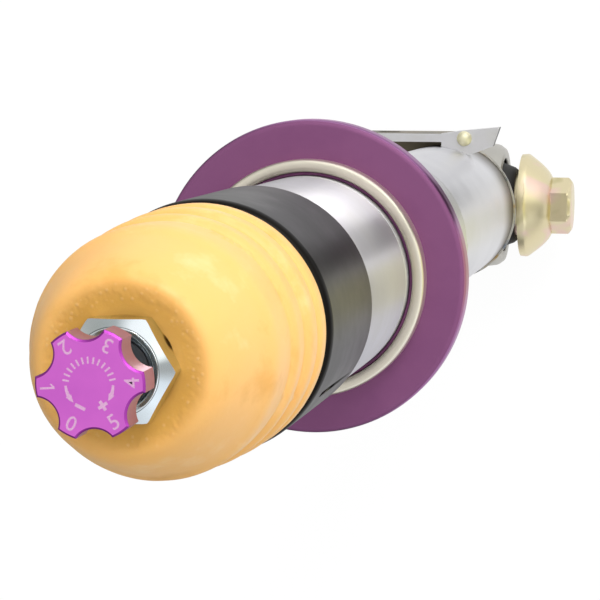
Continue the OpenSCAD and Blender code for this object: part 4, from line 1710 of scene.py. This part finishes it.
        for start, stop in self.arrows:
            rims: tuple[list[bmesh.types.BMVert], list[bmesh.types.BMVert]] = ([], [])
            for share, half in self.arrow:
                angle = math.radians(start + (stop - start) * share)
                for side, rim in zip((1, -1), rims):
                    r = (self.arc_r + side * half * self.arrow_wide) * MM
                    rim.append(mesh.verts.new((r * math.cos(angle), r * math.sin(angle), z)))
            outer, inner = rims
            for index in range(len(outer) - 1):
                mesh.faces.new((outer[index], outer[index + 1], inner[index + 1], inner[index]))
        place, turn, long, wide = self.minus
        x, y = long / 2, wide / 2
        bar = [(x, y), (-x, y), (-x, -y), (x, -y)]
        cross_at, cross_turn, arm, half = self.plus
        cross = [(arm, -half), (arm, half), (half, half), (half, arm), (-half, arm), (-half, half)]
        cross += [(-x, -y) for x, y in cross]
        for corners, at_deg, turn_deg in ((bar, place, turn), (cross, cross_at, cross_turn)):
            at, spin = math.radians(at_deg), math.radians(turn_deg)
            points = []
            for x, y in corners:
                px = self.arc_r * math.cos(at) + x * math.cos(spin) - y * math.sin(spin)
                py = self.arc_r * math.sin(at) + x * math.sin(spin) + y * math.cos(spin)
                points.append(mesh.verts.new((px * MM, py * MM, z)))
            mesh.faces.new(points)
        return self.mark("knob_signs", mesh)

    def mark(self, name: str, mesh: BMesh) -> Piece:
        """Turns flat faces into a mark that faces up.

        Args:
            name: the mark's name.
            mesh: its flat faces, in metres.

        Returns:
            The mark, riding on the adjuster.
        """
        for face in mesh.faces:
            face.normal_update()
            if face.normal.z < 0:
                face.normal_flip()
        data = bpy.data.meshes.new(name)
        mesh.to_mesh(data)
        mesh.free()
        made = shaded(name, data, MARK)
        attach(made, "adjuster")
        return made


@dataclass
class LowerPin:
    """Flange bolt and the sleeve of the rubber bush."""

    sleeve_r: float = 11.3
    sleeve_half: float = 24.0
    bolt_r: float = 6.0
    flange_r: float = 19.0
    rim: float = 2.0
    flange_h: float = 10.5
    hex_af: float = 18.0
    hex_h: float = 7.3
    reach: float = 27.0
    # radius and height along the bolt of one half of the bush's rubber, which bulges out round the sleeve
    rubber: tuple[tuple[float, float], ...] = (
        (19.6, 15.8), (18.6, 15.7), (17.0, 15.3), (15.6, 16.2), (14.8, 18.2), (14.0, 20.4),
        (13.2, 21.4), (12.2, 21.4), (11.34, 20.9),
    )
    thread_core: float = 5.35
    thread_pitch: float = 1.75
    ridge_root: float = 1.6
    ridge_crest: float = 0.35
    thread_facets: int = 48
    facets: int = 96
    dome_steps: int = 16

    def build(self) -> list[Piece]:
        """Builds sleeve, bolt, head and thread.

        Returns:
            The pieces: the bush's rubber rides on the damper body, the rest on the lower pin.
        """
        sleeve = turned(
            "sleeve_skin",
            rounded(
                [
                    Corner(self.bolt_r + 0.02, -self.sleeve_half),
                    Corner(self.sleeve_r, -self.sleeve_half, 0.6),
                    Corner(self.sleeve_r, self.sleeve_half, 0.6),
                    Corner(self.bolt_r + 0.02, self.sleeve_half),
                ]
            ),
            YELLOW_ZINC,
            axis=Axis.BOLT,
            segments=96,
        )
        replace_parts(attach(sleeve, "lower_pin"), "bush_sleeve")
        rubber = turned(
            "bush_skin",
            [*((r, -x) for r, x in reversed(self.rubber)), *self.rubber],
            BLACK_RUBBER,
            axis=Axis.BOLT,
            segments=128,
        )
        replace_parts(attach(rubber, "damper_body"), "rubber_bush")
        end = -self.sleeve_half - self.reach
        seat = self.sleeve_half
        dome = []
        for step in range(self.dome_steps + 1):
            share = step / self.dome_steps
            r = self.flange_r - 0.25 - (self.flange_r - self.hex_af / 2) * share
            dome.append((r, seat + self.rim + (self.flange_h - self.rim) * math.sin(share * math.pi / 2)))
        stem = rounded(
            [
                Corner(0.0, end),
                Corner(self.thread_core, end, 0.8),
                Corner(self.thread_core, -self.sleeve_half - 1.2, 0.2),
                Corner(self.bolt_r, -self.sleeve_half, 0.2),
                Corner(self.bolt_r, seat, 0.2),
                Corner(self.flange_r, seat, 0.5),
            ]
        )
        profile = stem + [(self.flange_r, seat + self.rim - 0.6), *dome, (0.0, seat + self.flange_h)]
        bolt = turned("bolt_skin", profile, YELLOW_ZINC, axis=Axis.BOLT, segments=128)
        head = self.head()
        thread = grown(
            "bolt_thread",
            thread_tree(),
            {
                "Radius": self.thread_core * MM,
                "Low": (end + 0.6) * MM,
                "Length": (self.reach - 3.6) * MM,
                "Pitch": self.thread_pitch * MM,
                "Depth": (self.bolt_r - self.thread_core - 0.02) * MM,
                "Root": self.ridge_root * MM,
                "Crest": self.ridge_crest * MM,
                "Facets": self.thread_facets,
            },
            YELLOW_ZINC,
        )
        thread.data.transform(Matrix.Rotation(math.pi / 2, 4, "Y"))
        for piece in (bolt, head, thread):
            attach(piece, "lower_pin")
        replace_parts(bolt, "lower_bolt")
        return [rubber, sleeve, bolt, head, thread]

    def head(self) -> Piece:
        """The bolt's hexagon with its round chamfer.

        Returns:
            The hexagon as its own mesh.
        """
        start = self.sleeve_half + self.flange_h
        corner_r = self.hex_af / math.sqrt(3)
        levels = [
            (start - 4.0, corner_r + 0.2),
            (start + self.hex_h - 1.5, corner_r + 0.2),
            (start + self.hex_h - 1.1, corner_r - 0.35),
            (start + self.hex_h - 0.2, self.hex_af / 2 - 0.1),
            (start + self.hex_h, self.hex_af / 2 - 0.6),
        ]
        loops = []
        for x, limit in levels:
            loop = []
            for step in range(self.facets):
                angle = 2 * math.pi * step / self.facets
                off = (angle % (math.pi / 3)) - math.pi / 6
                reach = min(self.hex_af / 2 / math.cos(off), limit)
                turn = angle + math.pi / 6
                loop.append((x, reach * math.sin(turn), -reach * math.cos(turn)))
            loops.append(loop)
        mesh = bmesh.new()
        prism(mesh, loops)
        return object_from("bolt_head", mesh, YELLOW_ZINC, sharp_deg=24)


@dataclass
class Bracket:
    """Sheet bracket at the tube's foot, with its rivet."""

    roll: float = 0.45
    ear_z: float = 58.9
    ear_x: float = 2.2
    rivet_roll: float = 0.15

    def build(self) -> list[Piece]:
        """Builds the bracket and the rivet from the frame's solids with rolled edges.

        Returns:
            The pieces, riding on the damper body.
        """
        bracket = softened("bracket_skin", "hose_bracket", YELLOW_SHEET_SHADE, self.roll)
        bracket.data.materials.append(PALE_SHEET_LIT.material())
        bracket.data.materials.append(DARK_STEEL_AND_SHADE.material())
        for face in bracket.data.polygons:
            if face.center.z > self.ear_z * MM and face.center.x > self.ear_x * MM:
                # painted light: the ear gets the pale copy of the sheet, its cut edge dark; the rest keeps the olive
                # copy in painted shade
                face.material_index = 2 if face.normal.x > 0.5 else 1
        rivet = softened("rivet_skin", "bracket_rivet", YELLOW_RIVET_HIGHLIGHT, self.rivet_roll)
        for piece, node in ((bracket, "hose_bracket"), (rivet, "bracket_rivet")):
            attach(piece, "damper_body")
            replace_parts(piece, node)
        return [bracket, rivet]


@dataclass
class InnerParts:
    """Solids that stay as they are and only get their finish."""

    finishes: dict[str, Finish] = field(
        default_factory=lambda: {
            "foot_cap": STAINLESS_BRUSHED,
            "gland_ring": DARK_STEEL_AND_SHADE,
            "rod_seal": BLACK_RUBBER,
            "rod_guide": MACHINED,
            "guide_bush": BRONZE,
            "guide_o_ring": BLACK_RUBBER,
            "inner_tube": DARK_STEEL_AND_SHADE,
            "base_valve_body": DARK_STEEL_AND_SHADE,
            "base_valve_discs": SPRING_STEEL,
            "base_valve_bolt": DARK_STEEL_AND_SHADE,
            "rebound_stop": DARK_STEEL_AND_SHADE,
            "piston": MACHINED,
            "piston_band": BAND_PLASTIC,
            "rebound_discs": SPRING_STEEL,
            "compression_discs": SPRING_STEEL,
            "piston_nut": DARK_STEEL_AND_SHADE,
            "adjuster_stem": ZINC,
            "adjuster_needle": BRONZE,
            "perch_lock_screw": DARK_STEEL_AND_SHADE,
        }
    )

    def dress(self) -> None:
        """Assigns each finish to its solid's slots."""
        for node, finish in self.finishes.items():
            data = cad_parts[node].data
            data.materials.clear()
            data.materials.append(finish.material())


# --------------------------------------------------------------------------- studio


@dataclass
class Studio:
    """Camera, floor, world and soft lamps."""

    eye: tuple[float, float, float] = (115.08, 57.99, 813.3)
    right: tuple[float, float, float] = (0.97732, 0.00168, -0.2118)
    up: tuple[float, float, float] = (-0.02586, 0.99346, -0.1112)
    lens: float = 132.0
    floor_z: float = -24.0
    # half the floor's side in metres, how much of it glows by itself and its level as the camera sees it
    floor_half: float = 6.0
    floor_share: float = 0.9
    floor_glow: float = 1.03
    floor_matt: tuple[float, float, float, float] = (0.86, 0.86, 0.86, 1.0)
    # for reflections the floor dims between these distances in metres, and away from this bearing
    dim_reach: tuple[float, float] = (0.55, 1.1)
    lit_deg: float = 25.0
    # slopes between which the walls give way to the band, and the band to the dome
    tier_edges: tuple[tuple[float, float], ...] = ((0.15, 0.35), (0.7, 0.92))
    sky: str = "#ffffff"
    # linear level of the tent overhead, away from the window and towards it
    dome: tuple[float, float] = (0.62, 0.95)
    window_deg: float = 65.0
    # linear shade of the room's walls by azimuth in degrees
    walls: tuple[tuple[float, tuple[float, float, float]], ...] = (
        (-180, (0.5, 0.5, 0.48)),
        (-90, (0.1, 0.1, 0.1)),
        (-50, (0.7, 0.7, 0.7)),
        (0, (0.3, 0.3, 0.28)),
        (24, (1.6, 1.6, 1.5)),
        (60, (1.6, 1.6, 1.5)),
        (95, (1.2, 1.2, 1.2)),
        (120, (0.25, 0.25, 0.25)),
        (180, (0.5, 0.5, 0.48)),
    )
    # linear shade of the tent between the horizon and 45 degrees up, by azimuth
    band: tuple[tuple[float, tuple[float, float, float]], ...] = (
        (-180, (0.75, 0.75, 0.72)),
        (-120, (0.5, 0.51, 0.52)),
        (-60, (1.1, 1.15, 1.2)),
        (-28, (0.95, 1.0, 1.05)),
        (-10, (0.3, 0.3, 0.28)),
        (3, (0.18, 0.19, 0.17)),
        (13, (1.6, 1.6, 1.5)),
        (28, (2.2, 2.2, 2.1)),
        (55, (1.5, 1.5, 1.5)),
        (90, (1.2, 1.2, 1.2)),
        (112, (0.5, 0.52, 0.52)),
        (140, (0.5, 0.5, 0.48)),
        (180, (0.75, 0.75, 0.72)),
    )
    # azimuth, half width in degrees, low and high edge in mm and linear colour of the flags
    flags: tuple[tuple[float, float, float, float, tuple[float, float, float]], ...] = (
        (32.0, 11.0, 45.0, 325.0, (0.01, 0.01, 0.01)),
        (47.0, 5.0, 45.0, 300.0, (0.6, 0.6, 0.62)),
        (0.0, 14.0, 45.0, 300.0, (0.86, 0.83, 0.46)),
        (-42.0, 14.0, 45.0, 300.0, (0.75, 0.75, 0.78)),
        (72.0, 20.0, 45.0, 330.0, (0.66, 0.66, 0.68)),
    )
    flag_r: float = 72.0
    flag_steps: int = 8
    # name, place, side in metres, power in watts and linear colour of the lamps, and what they aim at
    boxes: tuple[tuple[str, tuple[float, float, float], float, float, tuple[float, float, float]], ...] = (
        ("key", (0.35, 0.8, 0.8), 0.4, 5.2, (1.0, 0.99, 0.97)), ("fill", (0.9, -0.3, 0.7), 0.8, 1.0, (1.0, 1.0, 1.0))
    )
    aim: tuple[float, float, float] = (0.0, 0.0, 0.33)

    def build(self) -> None:
        """Sets up everything that isn't part of the object."""
        self.camera()
        self.floor()
        self.world()
        self.lamps()
        self.screens()
        bpy.context.scene.view_settings.view_transform = "Standard"

    def camera(self) -> None:
        """Places the camera along the strut."""
        data = bpy.data.cameras.new("camera")
        data.lens = self.lens
        data.sensor_width = 36.0
        data.clip_start = 0.01
        data.clip_end = 20.0
        right, up = Vector(self.right).normalized(), Vector(self.up).normalized()
        back = right.cross(up).normalized()
        up = back.cross(right)
        turn = Matrix((right, up, back)).transposed().to_4x4()
        camera = bpy.data.objects.new("camera", data)
        camera.matrix_world = Matrix.Translation(Vector(self.eye) * MM) @ turn
        bpy.context.scene.collection.objects.link(camera)
        bpy.context.scene.camera = camera

    def floor(self) -> None:
        """Lays a wide white floor under the eye, which keeps a soft shadow."""
        mesh = bmesh.new()
        half = self.floor_half
        corners = [(-half, -half), (half, -half), (half, half), (-half, half)]
        mesh.faces.new([mesh.verts.new((x, y, self.floor_z * MM)) for x, y in corners])
        data = bpy.data.meshes.new("floor")
        mesh.to_mesh(data)
        mesh.free()
        paint = bpy.data.materials.new("floor_white")
        paint.use_nodes = True
        tree = paint.node_tree
        tree.nodes.clear()
        rays = add_node(tree, "ShaderNodeLightPath")
        seen = add_node(
            tree,
            "ShaderNodeMath",
            {0: rays.outputs["Is Camera Ray"], 1: rays.outputs["Is Glossy Ray"]},
            operation="MAXIMUM",
        )
        through = add_node(
            tree, "ShaderNodeMath", {0: seen, 1: rays.outputs["Is Transmission Ray"]}, operation="MAXIMUM"
        )
        share = add_node(tree, "ShaderNodeMath", {0: through, 1: self.floor_share}, operation="MULTIPLY")
        # beyond the sweep the room is dim, which only reflections show
        place = add_node(tree, "ShaderNodeTexCoord").outputs["Object"]
        far = add_node(tree, "ShaderNodeVectorMath", {0: place}, operation="LENGTH")
        near, gone = self.dim_reach
        dim = add_node(
            tree,
            "ShaderNodeMapRange",
            {"Value": far.outputs["Value"], "From Min": near, "From Max": gone, "To Min": 1.0, "To Max": 0.25},
        )
        # and so is the side away from the window
        bearing = math.radians(self.lit_deg)
        lean = add_node(
            tree,
            "ShaderNodeVectorMath",
            {0: place, 1: (math.cos(bearing), math.sin(bearing), 0.0)},
            operation="DOT_PRODUCT",
        )
        side = add_node(
            tree,
            "ShaderNodeMapRange",
            {"Value": lean.outputs["Value"], "From Min": -0.14, "From Max": 0.0, "To Min": 0.18, "To Max": 1.0},
        )
        shown = add_node(tree, "ShaderNodeMath", {0: dim, 1: side}, operation="MULTIPLY")
        lit = add_node(tree, "ShaderNodeMath", {0: rays.outputs["Is Camera Ray"], 1: shown}, operation="MAXIMUM")
        glowing = add_node(tree, "ShaderNodeMath", {0: lit, 1: self.floor_glow}, operation="MULTIPLY")
        matt = add_node(tree, "ShaderNodeBsdfDiffuse", {"Color": self.floor_matt})
        glow = add_node(tree, "ShaderNodeEmission", {"Color": (1.0, 1.0, 1.0, 1.0), "Strength": glowing})
        mixed = add_node(tree, "ShaderNodeMixShader", {0: share, 1: matt, 2: glow})
        add_node(tree, "ShaderNodeOutputMaterial", {"Surface": mixed})
        data.materials.append(paint)
        floor = bpy.data.objects.new("floor", data)
        bpy.context.scene.collection.objects.link(floor)

    def world(self) -> None:
        """Surrounds the object with a bright tent whose one side is darker, and a white backdrop."""
        world = bpy.data.worlds.new("tent")
        bpy.context.scene.world = world
        world.use_nodes = True
        tree = world.node_tree
        tree.nodes.clear()
        rays = add_node(tree, "ShaderNodeLightPath")
        way = add_node(tree, "ShaderNodeTexCoord").outputs["Generated"]
        parts = add_node(tree, "ShaderNodeSeparateXYZ", {0: way})
        turn = add_node(tree, "ShaderNodeMath", {0: parts.outputs[1], 1: parts}, operation="ARCTAN2")
        around = add_node(tree, "ShaderNodeMapRange", {"Value": turn, "From Min": -math.pi, "From Max": math.pi})
        tiers = []
        for pattern in (self.walls, self.band):
            ramp = add_node(tree, "ShaderNodeValToRGB", {"Fac": around})
            fill_ramp(ramp, [((azimuth + 180) / 360, (*shade, 1.0)) for azimuth, shade in pattern])
            tiers.append(ramp.outputs[0])
        steps = [
            add_node(
                tree,
                "ShaderNodeMapRange",
                {"Value": parts.outputs[2], "From Min": low, "From Max": high},
                interpolation_type="SMOOTHSTEP",
            ).outputs[0]
            for low, high in self.tier_edges
        ]
        ring = add_node(tree, "ShaderNodeMix", {"Factor": steps[0], "A": tiers[0], "B": tiers[1]}, data_type="RGBA")
        bearing = math.radians(self.window_deg)
        lean = add_node(
            tree,
            "ShaderNodeVectorMath",
            {0: way, 1: (math.cos(bearing), math.sin(bearing), 0.0)},
            operation="DOT_PRODUCT",
        )
        level = add_node(
            tree,
            "ShaderNodeMapRange",
            {
                "Value": lean.outputs["Value"],
                "From Min": -0.8,
                "From Max": 0.8,
                "To Min": self.dome[0],
                "To Max": self.dome[1],
            },
        )
        dome = add_node(
            tree, "ShaderNodeMix", {"Factor": steps[1], "A": ring.outputs["Result"], "B": level}, data_type="RGBA"
        )
        tent = add_node(tree, "ShaderNodeBackground", {"Color": dome.outputs["Result"], "Strength": 1.0})
        backdrop = add_node(tree, "ShaderNodeBackground", {"Color": linear(self.sky), "Strength": 1.0})
        mixed = add_node(tree, "ShaderNodeMixShader", {0: rays.outputs["Is Camera Ray"], 1: tent, 2: backdrop})
        add_node(tree, "ShaderNodeOutputWorld", {"Surface": mixed})

    def screens(self) -> None:
        """Stands small flags round the strut, which only its metal reflects."""
        for index, (azimuth, half, low, high, shade) in enumerate(self.flags):
            mesh = bmesh.new()
            columns = []
            for step in range(self.flag_steps + 1):
                angle = math.radians(azimuth + half * (2 * step / self.flag_steps - 1))
                x, y = self.flag_r * math.cos(angle) * MM, self.flag_r * math.sin(angle) * MM
                columns.append([mesh.verts.new((x, y, z * MM)) for z in (low, high)])
            for left, right in zip(columns, columns[1:]):
                mesh.faces.new((left[0], right[0], right[1], left[1]))
            data = bpy.data.meshes.new(f"flag_{index}")
            mesh.to_mesh(data)
            mesh.free()
            cloth = bpy.data.materials.new(f"flag_cloth_{index}")
            cloth.use_nodes = True
            tree = cloth.node_tree
            tree.nodes.clear()
            glow = add_node(tree, "ShaderNodeEmission", {"Color": (*shade, 1.0), "Strength": 1.0})
            add_node(tree, "ShaderNodeOutputMaterial", {"Surface": glow})
            data.materials.append(cloth)
            flag = bpy.data.objects.new(f"flag_{index}", data)
            bpy.context.scene.collection.objects.link(flag)
            flag.visible_camera = False
            flag.visible_diffuse = False
            flag.visible_shadow = False
            flag.visible_transmission = False

    def lamps(self) -> None:
        """Hangs the soft boxes."""
        for name, place, size, power, tint in self.boxes:
            data = bpy.data.lights.new(name, "AREA")
            data.shape = "SQUARE"
            data.size = size
            data.energy = power
            data.color = tint
            lamp = bpy.data.objects.new(name, data)
            lamp.location = place
            lamp.rotation_euler = (Vector(self.aim) - Vector(place)).to_track_quat("-Z", "Y").to_euler()
            bpy.context.scene.collection.objects.link(lamp)


def main() -> None:
    """Builds the studio and every piece, and reports each one."""
    logging.basicConfig(level=logging.INFO, format="%(name)s: %(message)s")
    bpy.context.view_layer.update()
    Studio().build()
    InnerParts().dress()
    pieces: list[Piece] = [BumpStop().build()]
    for part in (TubeBody(), Perch(), RodEnd(), Knob(), LowerPin(), Bracket()):
        pieces += part.build()
    for piece in pieces:
        LOG.info("%s: %d faces", piece.name, len(piece.data.polygons))


if __name__ == "__main__":
    main()
